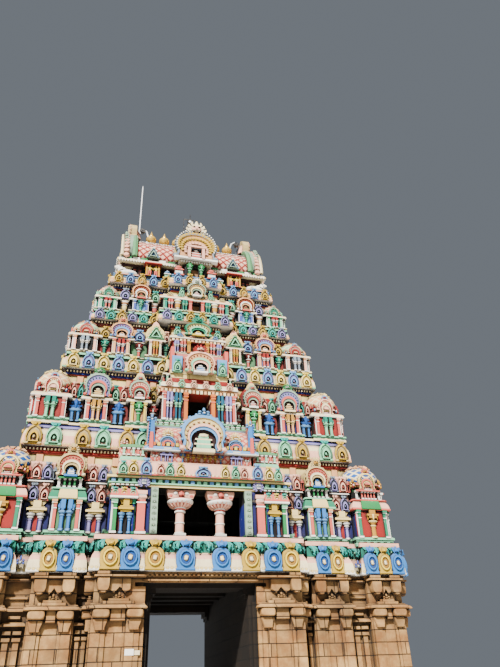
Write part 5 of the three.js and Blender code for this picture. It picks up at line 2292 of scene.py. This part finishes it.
@dataclass(frozen=True)
class GrandShrine:
    """The first tier's middle bay: pillared opening, niches, arcade and a barrel roof with a great gable."""

    half: float = 3.8
    plane: float = 4.55
    wall: float = 3.8
    foot: float = 7.2
    lip: Point = (3.6, 4.85)
    cornice: Point = (9.55, 10.22)

    def dress(self) -> None:
        """Builds the shrine's pieces."""
        self._doorway()
        self._pillars()
        self._entablature()
        self._roof()

    def _doorway(self) -> None:
        """Builds the sill, jambs and niches."""
        piece = Masonry("great_doorway", "tier_plaster")
        foot, plane = self.foot, self.plane
        tall, low = 9.14 - foot, 8.56 - foot
        sill = steps((0.16, 6.98, 7.08, 0), (0.1, 7.08, 7.17, 1))
        piece.course(Plan.bay(self.half, plane, self.wall), sill, "blush cream", 1.86)
        piece.set_out(
            ("cube", "sage", 2.01, plane, 7.17, (0.3, 0.2, tall)),
            ("cube", "navy", 2.26, plane, 7.17, (0.2, 0.06, tall)),
            *[("flower", "moss white sage", 2.01, plane + 0.17, 7.24 + 0.235 * k, (0.24, 0.07, 0.2))
              for k in range(8)],
            ("pilaster", "pink white blush", 2.54, plane, foot, (0.44, 0.24, tall - 0.2)),
            ("panel", "pine rose", 3.2, plane, foot, (0.92, 0.1, low)),
            ("twin", "lake sky ochre dark", 3.14, plane, foot, (0.6, 0.3, low)),
            ("jamb", "navy jade jade", 2.83, plane, foot, (-0.12, 0.2, low)),
            ("jamb", "green white mint", 3.61, plane, foot, (0.26, 0.26, low)),
            ("hood", "pink white", 3.25, 4.4, 8.57, (1.12, 0.5, 0.42)),
            ("kudu", GREEN_KUDU, 2.9, plane + 0.12, 8.62, (0.34, 0.24, 0.42)),
            ("kudu", YELLOW_KUDU, 3.26, plane + 0.12, 8.62, (0.34, 0.24, 0.42)),
            ("kudu", GREEN_KUDU, 3.62, plane + 0.12, 8.62, (0.34, 0.24, 0.42)),
            # Near-black sheet behind the little posts: painted shade.
            ("cube", "dark", 3.25, 4.4, 8.97, (1.0, 0.25, 0.2)),
        )
        for k in range(6):
            paints = ("pink white", "mint white")[k % 2]
            piece.lay("small_post", paints, 2.78 + 0.19 * k, 4.4, 8.96, (0.12, 0.36, 0.22))
        piece.finish()

    @staticmethod
    def _pillars() -> None:
        """Builds the two round pillars with their lotus cups and brackets."""
        form = Form()
        form.turned([(7.2, 7.34, 0.23, 1)], 4, y=0.0)
        form.turned([(7.33, 7.4, 0.2, 1), (7.42, 0.18, 0), (7.74, 0.175, 0), (7.76, 7.8, 0.2, 1),
                     (7.82, 0.175, 0),
                     (8.2, 0.17, 0), (8.22, 8.27, 0.225, 1), (8.28, 0.2, 2), (8.36, 0.22, 2),
                     (8.4, 0.24, 1)], 16, y=0.0)
        form.turned([(8.38, 0.2, 2), (8.46, 0.34, 2), (8.54, 0.46, 2), (8.6, 0.53, 1), (8.66, 0.55, 1),
                     (8.69, 0.54, 1),
                     (8.7, 0.44, 2), (8.75, 0.42, 2)], 20, y=0.0)
        for k in range(16):
            turn = Matrix.Rotation(math.tau * k / 16, 3, "Z")
            route = [turn @ Vector(point) for point in ((0.24, 0, 8.42), (0.4, 0, 8.5), (0.53, 0, 8.62))]
            form.limb(route, (0.03, 0.05, 0.02), 0, 4)
        outline = mirrored([(0.4, 8.73), (0.52, 8.76), (0.57, 8.88), (0.62, 9.0), (0.62, 9.13)])
        for face in (-1, 1):
            form.plate(outline, 8.9, [(0, face * 0.2, 1, 0), (face * 0.24, 0.94, 0)], 0)
            form.ball((0.44, face * 0.22, 8.86), (0.11, 0.05, 0.09), 2)
            form.ball((0.24, face * 0.24, 8.98), (0.1, 0.05, 0.09), 1)
            form.limb([(0, face * 0.2, 9.0), (0, face * 0.3, 8.86), (0, face * 0.26, 8.74)],
                      (0.12, 0.1, 0.03), 2, 6)
        piece = Masonry("great_pillars", "pillar_plaster")
        piece.lay(form.stamp(), "blush white pink", 0.86, 4.2, 0.0, (1, 1, 1))
        piece.finish("pillar_front_left", "pillar_front_right", "pillar_back_left", "pillar_back_right")

    def _entablature(self) -> None:
        """Builds the beam, the cornice over it and the arcade."""
        piece = Masonry("great_entablature", "tier_plaster")
        (half, out), (foot, head) = self.lip, self.cornice
        beam, plan = Plan.bay(self.half, self.plane, self.wall), Plan.bay(half, out, self.wall)
        profile = steps((0.07, 9.14, 9.25, 0), (0.13, 9.25, 9.3, 1), (0.06, 9.3, 9.47, 2),
                        (0.2, 9.47, 9.56, 0))
        piece.course(beam, profile, "straw mint jade")
        piece.row(beam.grown(0.06), "cube", ("mint", "sky"), 9.31, 0.28, (0.17, 0.06, 0.14))
        piece.lay("mask", "grey white lilac", 2.48, self.plane + 0.05, 9.1, (0.5, 0.24, 0.5))
        piece.course(plan, eave(0.02, 0.2, foot, head, 5), "blush pink")
        piece.row(plan, "cube", ("cream",), foot + 0.06, 0.17, (0.1, 0.04, 0.08))
        for x, paints, width, tall in ((0.0, BLUE_KUDU, 0.62, 0.5), (0.97, YELLOW_KUDU, 0.36, 0.62),
                                       (1.43, GREEN_KUDU, 0.34, 0.6), (1.82, PINK_KUDU, 0.32, 0.58),
                                       (2.43, BLUE_KUDU, 0.44, 0.76), (2.96, YELLOW_KUDU, 0.4, 0.66),
                                       (3.38, GREEN_KUDU, 0.34, 0.6)):
            piece.lay("medallion", paints, x, out - 0.12, foot + 0.02, (width * 1.15, 0.28, tall))
        posts = ("mint white", "pink white")
        piece.set_out(
            ("cube", "teal", 0.0, 4.4, 10.1, (4.6, 0.28, 0.14)),
            ("cube", "red", 0.0, 4.3, 10.22, (4.5, 0.1, 0.56)),
            # Near-black middle of the backing behind the columns: painted shade.
            ("cube", "dark", 0.0, 4.36, 10.22, (1.9, 0.1, 0.56)),
            *[("column", "orange yellow orange", x, 4.42, 10.24, (0.28, 0.16, 0.5))
              for x in (0.13, 0.37, 0.61)],
            ("column", "lake yellow lake", 0.85, 4.42, 10.24, (0.28, 0.16, 0.5)),
            # The portals' doorways are painted black: painted shade.
            ("portal", "lilac black grey", 1.42, 4.42, 10.24, (0.28, 0.2, 0.5)),
            ("portal", "lilac black grey", 1.7, 4.42, 10.24, (0.28, 0.2, 0.5)),
            ("double", "pink white pink dark", 2.06, 4.4, 10.24, (0.3, 0.18, 0.5)),
            ("hood", "mint cream", 2.98, 4.1, 10.2, (1.16, 0.45, 0.34)),
            *[("small_post", posts[k % 2], 2.58 + 0.2 * k, 4.42, 10.52, (0.13, 0.1, 0.36)) for k in range(5)],
            ("cube", "moss", 2.98, 4.2, 10.86, (1.16, 0.34, 0.14)),
            ("flower", "pink white blush", 3.4, 4.4, 10.9, (0.4, 0.22, 0.36)),
        )
        piece.finish()

    @staticmethod
    def _roof() -> None:
        """Dresses the barrel roof, its end frames and its great gable."""
        piece = Masonry("great_roof_carving", "shala_plaster")
        roof = Plan.bay(2.42, 4.6, 3.6)
        piece.course(roof, eave(0.14, 0.1, 10.72, 10.94, 3), "sky white")
        piece.row(roof.grown(0.02), "cube", ("orange", "yellow"), 10.95, 0.2, (0.14, 0.07, 0.16))
        ridge = steps((0.02, 11.86, 11.96, 0), (0.08, 11.96, 12.1, 1), (0.02, 12.1, 12.18, 0))
        piece.course(Plan.bay(2.3, 4.06, 3.5), ridge, "moss grey")
        outline = mirrored([(0.5, 0.0), (0.54, 0.2), (0.42, 0.8), (0.36, 1.0)])
        end = Form().plate(outline, 0.0, [(0, 0.6, 1, 1), (0.65, 0.62, 0), (0.9, 0.58, 0), (0.9, 0.4, 2)], 2)
        for k in range(11):
            end.bead((0.46 - 0.012 * k, -0.62, 0.04 + 0.094 * k), (0.13, 0.3, 0.05), 1)
        piece.set_out(
            *[("shrine", "mint white green", 0.26 * k, 3.96, 12.16, (0.2, 0.2, 0.32)) for k in range(9)],
            (end.stamp(), "lake lake pink", 2.27, 4.5, 10.74, (0.3, 0.26, 1.4)),
            ("flower", "lake white sky", 2.27, 4.45, 12.0, (0.54, 0.24, 0.5)),
            ("flower", "pink white blush", 2.42, 4.55, 10.66, (0.46, 0.2, 0.36)),
            ("nasi", "sky lake pink brown white cream pink", 1.54, 4.5, 10.84, (0.7, 0.26, 0.6)),
            ("mask", "gold white straw", 1.54, 4.5, 11.36, (0.5, 0.24, 0.46)),
            ("wide_nasi", "sky straw blush brown peach cream mint", 0.0, 4.76, 10.72, (2.0, 0.36, 1.74)),
            ("flower", "lake white sky", 0.0, 4.8, 12.3, (0.66, 0.3, 0.5)),
        )
        piece.finish()


# The middle bays of the upper tiers


@dataclass(frozen=True)
class MiddleBay:
    """A middle bay: uprights beside a doorway, beam, cornice, small arcade and a gable with its crest.

    An upright is an ornament's name, its paints, its x and its width. The gable has half a width, a foot,
    a top, a crest and a plane.
    """

    tier: int
    half: float
    plane: float
    wall: float
    uprights: tuple[tuple[str, str, float, float], ...]
    foot: float
    eave: float
    beam: Point
    lip: Point
    gable: tuple[float, float, float, float, float]
    gable_paints: str
    arcade: Point | None
    medals: tuple[str, str]
    ground: str
    opening: float

    def dress(self) -> None:
        """Builds the bay's piece."""
        piece = Masonry(f"tier_{self.tier}_middle_bay", "tier_plaster")
        height, first = self.eave - self.foot, self.opening + 0.02
        size = (self.half - first - 0.04, 0.06, height)
        piece.lay("cube", self.ground, (first + self.half) / 2, self.plane, self.foot, size)
        for stamp, paints, x, width in self.uprights:
            piece.lay(stamp, paints, x, self.plane, self.foot, (width, 0.24, height))
        (low, high), (half, out) = self.beam, self.lip
        beam, plan = Plan.bay(self.half, self.plane, self.wall), Plan.bay(half, out, self.wall)
        piece.course(beam, steps((0.1, self.eave - 0.02, low - 0.08, 0), (0.16, low - 0.08, low, 1)),
                     "rose peach")
        piece.row(beam.grown(0.1), "cube", ("cream", "peach"), self.eave, 0.2,
                  (0.13, 0.06, low - self.eave - 0.08))
        piece.course(plan, eave(0.03, 0.14, low, high, 3), "cream white")
        paints = [f"{plate} cream cream {plate} grey" for plate in self.medals]
        piece.row(plan.grown(-0.08), "medallion", paints, low, 0.55, (0.38, 0.2, (high - low) * 1.5), 0.6)
        if self.arcade:
            self._arcade(piece, *self.arcade)
        half, foot, top, crest, plane = self.gable
        rim, _, _, _, bead, *_ = self.gable_paints.split()
        piece.lay("nasi", self.gable_paints, 0.0, plane - 0.02, foot, (half * 2.1, 0.3, top - foot + 0.04))
        piece.lay("mask", f"{rim} dark {bead}", 0.0, plane, top - 0.08,
                  (half * 1.1, 0.28, crest - top + 0.12))
        if self.arcade:
            piece.lay("cube", "sky", half * 1.6, plane - 0.24, foot + 0.02,
                      (half * 0.74, 0.22, (top - foot) * 0.78))
        piece.lay("medallion", GREEN_KUDU, half * 1.6, plane - 0.14, foot,
                  (half * 0.62, 0.26, (top - foot) * 0.66))
        piece.finish()

    def _arcade(self, piece: Masonry, foot: float, head: float) -> None:
        """Sets the little arcade over the cornice.

        Args:
            piece: The piece to build in.
            foot: Where its posts stand.
            head: Its top.
        """
        inner = Plan.bay(self.lip[0] - 0.2, self.lip[1] - 0.3, self.wall)
        # The backing behind the little posts is near-black: painted shade.
        piece.course(inner, steps((0.0, foot, head, 0), (0.14, head - 0.06, head, 1)), "dark cream", back=0.3)
        size = (0.12, 0.13, head - foot)
        piece.row(inner, "small_post", ("pink white", "white", "mint white"), foot, 0.18, size)


def middle_bays() -> tuple[MiddleBay, ...]:
    """The middle bays of the second, third and fourth tiers.

    Returns:
        The bays.
    """
    # Each gable's fourth paint, the field in its opening, is near-black: painted shade.
    return (
        MiddleBay(
            2, 1.8, 3.75, 2.9,
            (("pilaster", "orange pink orange", 0.66, 0.24),
             ("double", "petrol mint petrol dark", 1.02, 0.42),
             ("double", "lilac white lilac dark", 1.43, 0.42), ("jamb", "pink white pink", 1.69, 0.2)),
            12.5, 13.96, (14.21, 14.5), (1.85, 3.95), (0.7, 15.02, 16.17, 16.54, 3.99),
            "blush peach mint dark rose white lake", (14.5, 15.0), ("blush", "mint"), "rose", 0.53,
        ),
        MiddleBay(
            3, 1.28, 3.2, 2.35,
            (("pilaster", "gold orange gold", 0.48, 0.22), ("double", "pink white pink dark", 0.76, 0.36),
             ("double", "lilac white lilac dark", 1.1, 0.3)),
            16.46, 17.16, (17.37, 17.54), (1.3, 3.32), (0.66, 17.54, 18.31, 18.72, 3.27),
            "jade straw mint dark teal yellow white", None, ("blush", "sky"), "rose", 0.345,
        ),
        MiddleBay(
            4, 1.84, 2.6, 1.8,
            (("pilaster", "pink blush pink", 0.34, 0.2), ("double", "teal mint teal dark", 0.64, 0.36),
             ("vase", "gold white straw", 1.03, 0.4), ("double", "pink white pink dark", 1.42, 0.34),
             ("jamb", "teal mint teal", 1.71, 0.2)),
            19.44, 20.12, (20.31, 20.48), (1.83, 2.7), (0.5, 20.43, 21.31, 21.62, 2.7),
            "sage gold straw dark white white pink", None, ("straw", "mint"), "brown", 0.22,
        ),
    )


# Neck and roof


@dataclass(frozen=True)
class Neck:
    """The recessed neck under the roof: bracket figures, a door niche, bulls and little spires."""

    foot: float = 22.15
    head: float = 23.15
    ledge: float = 22.13

    def dress(self) -> None:
        """Builds the neck's pieces."""
        piece = Masonry("neck_carving", "neck_plaster")
        foot, height = self.foot, self.head - self.foot
        piece.set_out(
            ("figure", "yellow pink gold", 2.22, 1.7, foot, (0.42, 0.26, height * 0.84)),
            ("figure", "yellow pink gold", 2.58, 1.7, foot, (0.42, 0.26, height * 0.84)),
            ("pilaster", "gold pink gold", 2.06, 1.68, foot, (0.14, 0.24, height)),
            ("pilaster", "gold pink gold", 2.75, 1.68, foot, (0.14, 0.24, height)),
            ("hood", "pink rose", 2.4, 1.6, self.head - 0.2, (1.0, 0.45, 0.18)),
            ("column", "green mint green", 0.34, 2.13, foot, (0.36, 0.26, height * 0.94)),
            *[("pilaster", "brown pink brown", x, 1.24, foot, (0.2, 0.1, height))
              for x in (0.9, 1.4, 3.1, 3.4)],
            ("pilaster", "brown pink brown", 0.9, 3.46, foot, (0.24, 0.1, height), ENDS),
        )
        piece.finish()
        self._bulls()

    def _bulls(self) -> None:
        """Builds the reclining bulls and the little spires."""
        form = Form()
        form.ball((0, 0, 0.26), (0.6, 0.22, 0.27), 0, 2)
        form.bead((0.24, 0, 0.5), (0.17, 0.15, 0.14), 0, 2)
        form.limb([(0.35, 0, 0.4), (0.46, 0, 0.62), (0.62, 0, 0.66)], (0.19, 0.14, 0.1), 0, 8)
        form.limb([(0.5, 0, 0.68), (0.72, 0, 0.6)], (0.11, 0.075), 0, 8)
        for hand in (-1, 1):
            form.limb([(0.5, hand * 0.06, 0.74), (0.5, hand * 0.14, 0.84), (0.54, hand * 0.1, 0.92)],
                      (0.035, 0.03, 0.01), 1)
            form.limb([(0.46, hand * 0.1, 0.66), (0.42, hand * 0.22, 0.66)], (0.05, 0.015), 0)
            form.limb([(0.4, hand * 0.2, 0.12), (0.68, hand * 0.2, 0.08), (0.48, hand * 0.22, 0.05)],
                      (0.09, 0.07, 0.05), 0)
            form.limb([(-0.3, hand * 0.2, 0.2), (-0.1, hand * 0.26, 0.1), (-0.4, hand * 0.26, 0.05)],
                      (0.13, 0.09, 0.05), 0)
        form.block((-0.62, 0.66), (-0.3, 0.3), (-0.02, 0.06), 1)
        piece = Masonry("ledge_bulls", "cornice_plaster")
        piece.lay(form.stamp(), "white blush", 3.8, 1.48, self.ledge, (1, 1, 1))
        piece.lay("shrine", "white pink pink", 0.95, 2.1, self.ledge, (0.56, 0.56, 0.9))
        piece.lay("shrine", "mint white sky", 1.55, 1.7, self.ledge, (0.42, 0.42, 0.7))
        piece.finish()


@dataclass(frozen=True)
class Roof:
    """The barrel roof: eave blocks, small and great gables, the lobed ends and what stands on the ridge."""

    eave_foot: float = 23.15
    eave_head: float = 23.4
    ridge: float = 25.715
    tips: float = 27.08
    finials: int = 7

    def dress(self) -> None:
        """Builds the roof's pieces."""
        self._eave()
        self._gables()
        self._ends()
        self._finials()
        self._lamps()

    def _eave(self) -> None:
        """Dresses the eave slab."""
        piece = Masonry("roof_eave_carving", "neck_plaster")
        plan, foot, head = Plan.cross(4.39, 1.65, 0.9, 2.25), self.eave_foot, self.eave_head
        piece.course(plan, eave(0.06, 0.12, foot + 0.05, head - 0.02, 4), "straw cream")
        # A brown band set back under the eave slab, darkened as painted shade in the neck's recess.
        piece.course(plan.grown(-0.2), steps((0.0, foot - 0.12, foot + 0.06, 0)), "brown")
        piece.row(plan, "cube", ("white",), foot + 0.02, 0.16, (0.09, 0.08, 0.1))
        for x, paint in ((1.3, "green"), (1.86, "white"), (2.9, "green"), (3.36, "white"), (3.84, "green")):
            piece.lay("cube", paint, x, 1.4, head - 0.04, (0.42, 0.24, 0.2))
        piece.row(Plan.bay(3.4, 0.2, 0.0), "small_post", ("pink white",), self.ridge - 0.1, 0.16,
                  (0.12, 0.2, 0.22))
        piece.finish()

    @staticmethod
    def _gables() -> None:
        """Sets the great middle gables and the small ones."""
        piece = Masonry("roof_gables", "nasi_plaster")
        # The great gable's field is painted black: painted shade in its opening.
        piece.lay("fan", "grey peach blush black ochre white pink", 0.0, 2.2, 23.38, (2.46, 0.4, 2.02))
        for x, z in arc(1.15, 24.4, -22, 202, 27):
            piece.lay("cube", "white", x, 2.46, z - 0.035, (0.07, 0.06, 0.07), FRONT_BACK, False)
        piece.lay("mask", "blush dark cream", 0.0, 2.2, 25.2, (1.24, 0.4, 1.1))
        piece.lay("tent", "sage sky white", 2.41, 1.52, 23.6, (0.76, 0.3, 0.84))
        piece.finish()

    @staticmethod
    def _ends() -> None:
        """Dresses the end gables."""
        piece = Masonry("roof_end_carving", "gable_plaster")
        piece.lay("fan", "sage mint white brown peach white yellow", 0.0, 3.9, 23.45, (3.1, 0.3, 2.7), ENDS)
        piece.lay("mask", "straw dark blush", 0.0, 3.6, 25.95, (1.5, 0.4, 1.3), ENDS)
        form = Form()
        curve = [(1.7 * math.cos(a), 23.5 + 2.55 * math.sin(a)) for a in np.linspace(0.02, 1.42, 12)]
        form.limb([(3.49, -y, z) for y, z in curve], [0.14] * 12, 0, 6)
        form.limb([(4.2, -y * 0.99, z) for y, z in curve[:9]], [0.09] * 9, 2, 6)
        for y, z in curve:
            form.bead((3.95, -y, z + 0.02), (0.2, 0.17, 0.19), 1)
        form.limb([(3.44, -0.2, 26.0), (3.56, -0.1, 26.7), (3.72, 0.0, 27.34)], (0.3, 0.26, 0.03), 1, 8)
        for k in range(8):
            for x in (3.4 + 0.004 * k * k, 3.86):
                form.bead((x, -0.44 + 0.04 * k, 26.02 + 0.16 * k), (0.09, 0.09, 0.09), 2)
        piece.fit(form, "moss blush cream")
        piece.finish()

    def _finials(self) -> None:
        """Builds the gilt finials."""
        size = (0.64, 0.64, self.tips - self.ridge)
        for k in range(self.finials):
            piece = Masonry(f"gilt_finial_{k + 1}", "gilt", FINISHES.gilt)
            piece.lay("kalasam", "gold", 0.82 * (k - 3), 0.0, self.ridge, size, FRONT, False)
            piece.finish(f"finial_{k + 1}")

    def _lamps(self) -> None:
        """Bends the tubes that carry the ridge's lamps, and sets their lenses."""
        bends = ((2.8, 0), (2.7, 0.5), (2.68, 0.95), (2.78, 1.3), (3.0, 1.48), (3.2, 1.42), (3.26, 1.22),
                 (3.14, 1.08))
        tube = Form().limb([(x, 0, self.ridge + z) for x, z in bends], [0.045] * len(bends), 0, 8)
        piece = Masonry("lamp_tubes", "rod_steel", FINISHES.pale_metal)
        piece.fit(tube, "white", FRONT)
        lens = Form().ball((0, 0, 0), (0.11, 0.05, 0.11), 0, 2).stamp()
        piece.lay(lens, "white", 0.0, 0.08, 28.37, (1, 1, 1))
        piece.finish()


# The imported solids' own finishes

LEVELS: dict[str, dict[float, str]] = {
    "cornice_1": {5.7: "white", 5.83: "blush", 6.46: "teal", 6.9: "white"},
    "cornice_2": {11.1: "white", 11.22: "blush", 11.88: "lilac", 12.1: "white"},
    "cornice_3": {15.4: "white", 15.5: "blush", 16.03: "green", 16.15: "white"},
    "cornice_4": {18.7: "white", 18.78: "blush", 19.13: "lilac", 19.2: "white"},
    "cornice_5": {21.4: "white", 21.48: "blush", 21.86: "sky", 22.0: "white"},
    # tier_1 is near-black from 8.6 to 9.45, under its eave: painted shadow.
    "tier_1": {7.0: "green", 7.3: "navy", 8.6: "dark", 9.45: "green", 9.7: "straw", 10.9: "blush"},
    "tier_2": {12.2: "mint", 12.5: "brown", 13.6: "cream", 13.75: "rose", 14.77: "straw", 15.14: "pink"},
    "tier_3": {16.2: "cream", 16.47: "rose", 17.28: "cream", 17.43: "straw", 18.4: "blush"},
    # tier_4 is near-black from 19.42 to 20.13, its recessed wall: painted shade.
    "tier_4": {19.2: "cream", 19.42: "dark", 20.13: "cream", 20.26: "straw", 21.1: "blush"},
    # The neck is near-black all over: painted shade in the recess under the roof.
    "neck": {22.1: "dark", 23.0: "dark"},
    "eave_slab": {23.1: "cream", 23.3: "white"},
    "pillar": {7.1: "white", 7.42: "blush", 8.44: "pink", 8.7: "white"},
    "gable": {23.3: "sage", 26.0: "sand"},
    "big_nasi": {23.3: "straw", 25.2: "blush"},
}
# Rooms inside the tiers, painted near-black as shade: half length, half depth and top of each.
ROOMS: dict[str, Rows] = {
    "tier_1": ((3.05, 3.7, 9.52), (6.55, 2.35, 99.0)),
    "tier_2": ((1.25, 2.98, 14.17), (5.45, 1.65, 99.0)),
    "tier_3": ((0.95, 2.4, 17.32), (4.45, 1.2, 99.0)),
    "tier_4": ((1.25, 1.9, 20.22), (3.7, 0.95, 99.0)),
}


def paint_solids() -> None:
    """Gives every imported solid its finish, by the start of its name."""
    shared = {name: FINISHES.plaster(name + "_paint", stops, ROOMS.get(name, ()))
              for name, stops in LEVELS.items()}
    shared["pier"] = FINISHES.granite
    shared["lintel"] = FINISHES.shaded_granite
    shared["shala"] = FINISHES.barrel("shala_lattice", 3.96, 0.34, Paint.PINK)
    shared["barrel_roof"] = FINISHES.barrel("roof_lattice", 0.0, 0.46, Paint.ROSE)
    shared["shutter"] = shared["neck_door"] = FINISHES.timber
    shared["finial"] = FINISHES.gilt
    shared["flood_lamp"] = shared["ridge_lamp"] = FINISHES.metal("black_metal", (0.02, 0.02, 0.022, 1.0), 0.4)
    shared["lightning_rod"] = FINISHES.pale_metal
    for name, node in frame["nodes"].items():
        key = max((start for start in shared if name.startswith(start)), key=len)
        node.data.materials.clear()
        node.data.materials.append(shared[key])


# Studio


@dataclass(frozen=True)
class Studio:
    """Floor, light and the camera at the photograph's angle."""

    focal_pixels: float = 586.8
    long_side: float = 667.0
    sensor: float = 36.0
    eye: tuple[float, float, float] = (-4.8058, -29.04, 1.6)
    yaw: float = 0.28831
    pitch: float = 0.55095
    roll: float = -0.043914
    sun_power: float = 14.3
    sun_aim: tuple[float, float, float] = (0.42, 0.72, -0.72)
    sky_power: float = 0.21

    def build(self) -> None:
        """Sets up the studio."""
        self._floor()
        self._lights()
        self._camera()

    @staticmethod
    def _floor() -> None:
        """Lays the pale floor."""
        bm = bmesh.new()
        bmesh.ops.create_grid(bm, x_segments=1, y_segments=1, size=160.0)
        mesh = bpy.data.meshes.new("studio_floor")
        bm.to_mesh(mesh)
        bm.free()
        mesh.materials.append(new_material("studio_floor").output(Base_Color=(0.62, 0.61, 0.59, 1.0),
                                                                  Roughness=0.9))
        floor = bpy.data.objects.new("studio_floor", mesh)
        bpy.context.scene.collection.objects.link(floor)

    def _lights(self) -> None:
        """Hangs one broad key light and a pale surround."""
        world = bpy.data.worlds.new("studio")
        world.use_nodes = True
        surround = world.node_tree.nodes["Background"].inputs
        surround[0].default_value, surround[1].default_value = (0.76, 0.85, 0.97, 1.0), self.sky_power
        bpy.context.scene.world = world
        sun = bpy.data.lights.new("key_light", "SUN")
        sun.energy = self.sun_power
        sun.angle = math.radians(4)
        sun.color = (1.0, 0.985, 0.955)
        lamp = bpy.data.objects.new("key_light", sun)
        lamp.rotation_mode = "QUATERNION"
        lamp.rotation_quaternion = Vector(self.sun_aim).to_track_quat("-Z", "Y")
        bpy.context.scene.collection.objects.link(lamp)

    def _camera(self) -> None:
        """Stands the camera where the photograph was taken."""
        flat = math.cos(self.pitch)
        ahead = Vector((math.sin(self.yaw) * flat, math.cos(self.yaw) * flat, math.sin(self.pitch)))
        level = Vector((math.cos(self.yaw), -math.sin(self.yaw), 0.0))
        upright = level.cross(ahead)
        right = level * math.cos(self.roll) + upright * math.sin(self.roll)
        up = upright * math.cos(self.roll) - level * math.sin(self.roll)
        data = bpy.data.cameras.new("camera")
        data.sensor_width = self.sensor
        data.lens = self.focal_pixels * self.sensor / self.long_side
        data.clip_end = 500.0
        camera = bpy.data.objects.new("camera", data)
        camera.matrix_world = Matrix.Translation(self.eye) @ Matrix((right, up, -ahead)).transposed().to_4x4()
        bpy.context.scene.collection.objects.link(camera)
        bpy.context.scene.camera = camera


def main() -> None:
    """Builds everything and reports each piece."""
    logging.basicConfig(level=logging.INFO, format="%(message)s")
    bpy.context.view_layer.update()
    tiers = (first_tier(), second_tier(), third_tier(), fourth_tier())
    for part in (*tiers, GroundStorey(), *cornices(), Frieze(), GrandShrine(), *middle_bays(), Neck(),
                 Roof()):
        part.dress()
    paint_solids()
    Studio().build()


if __name__ == "__main__":
    main()
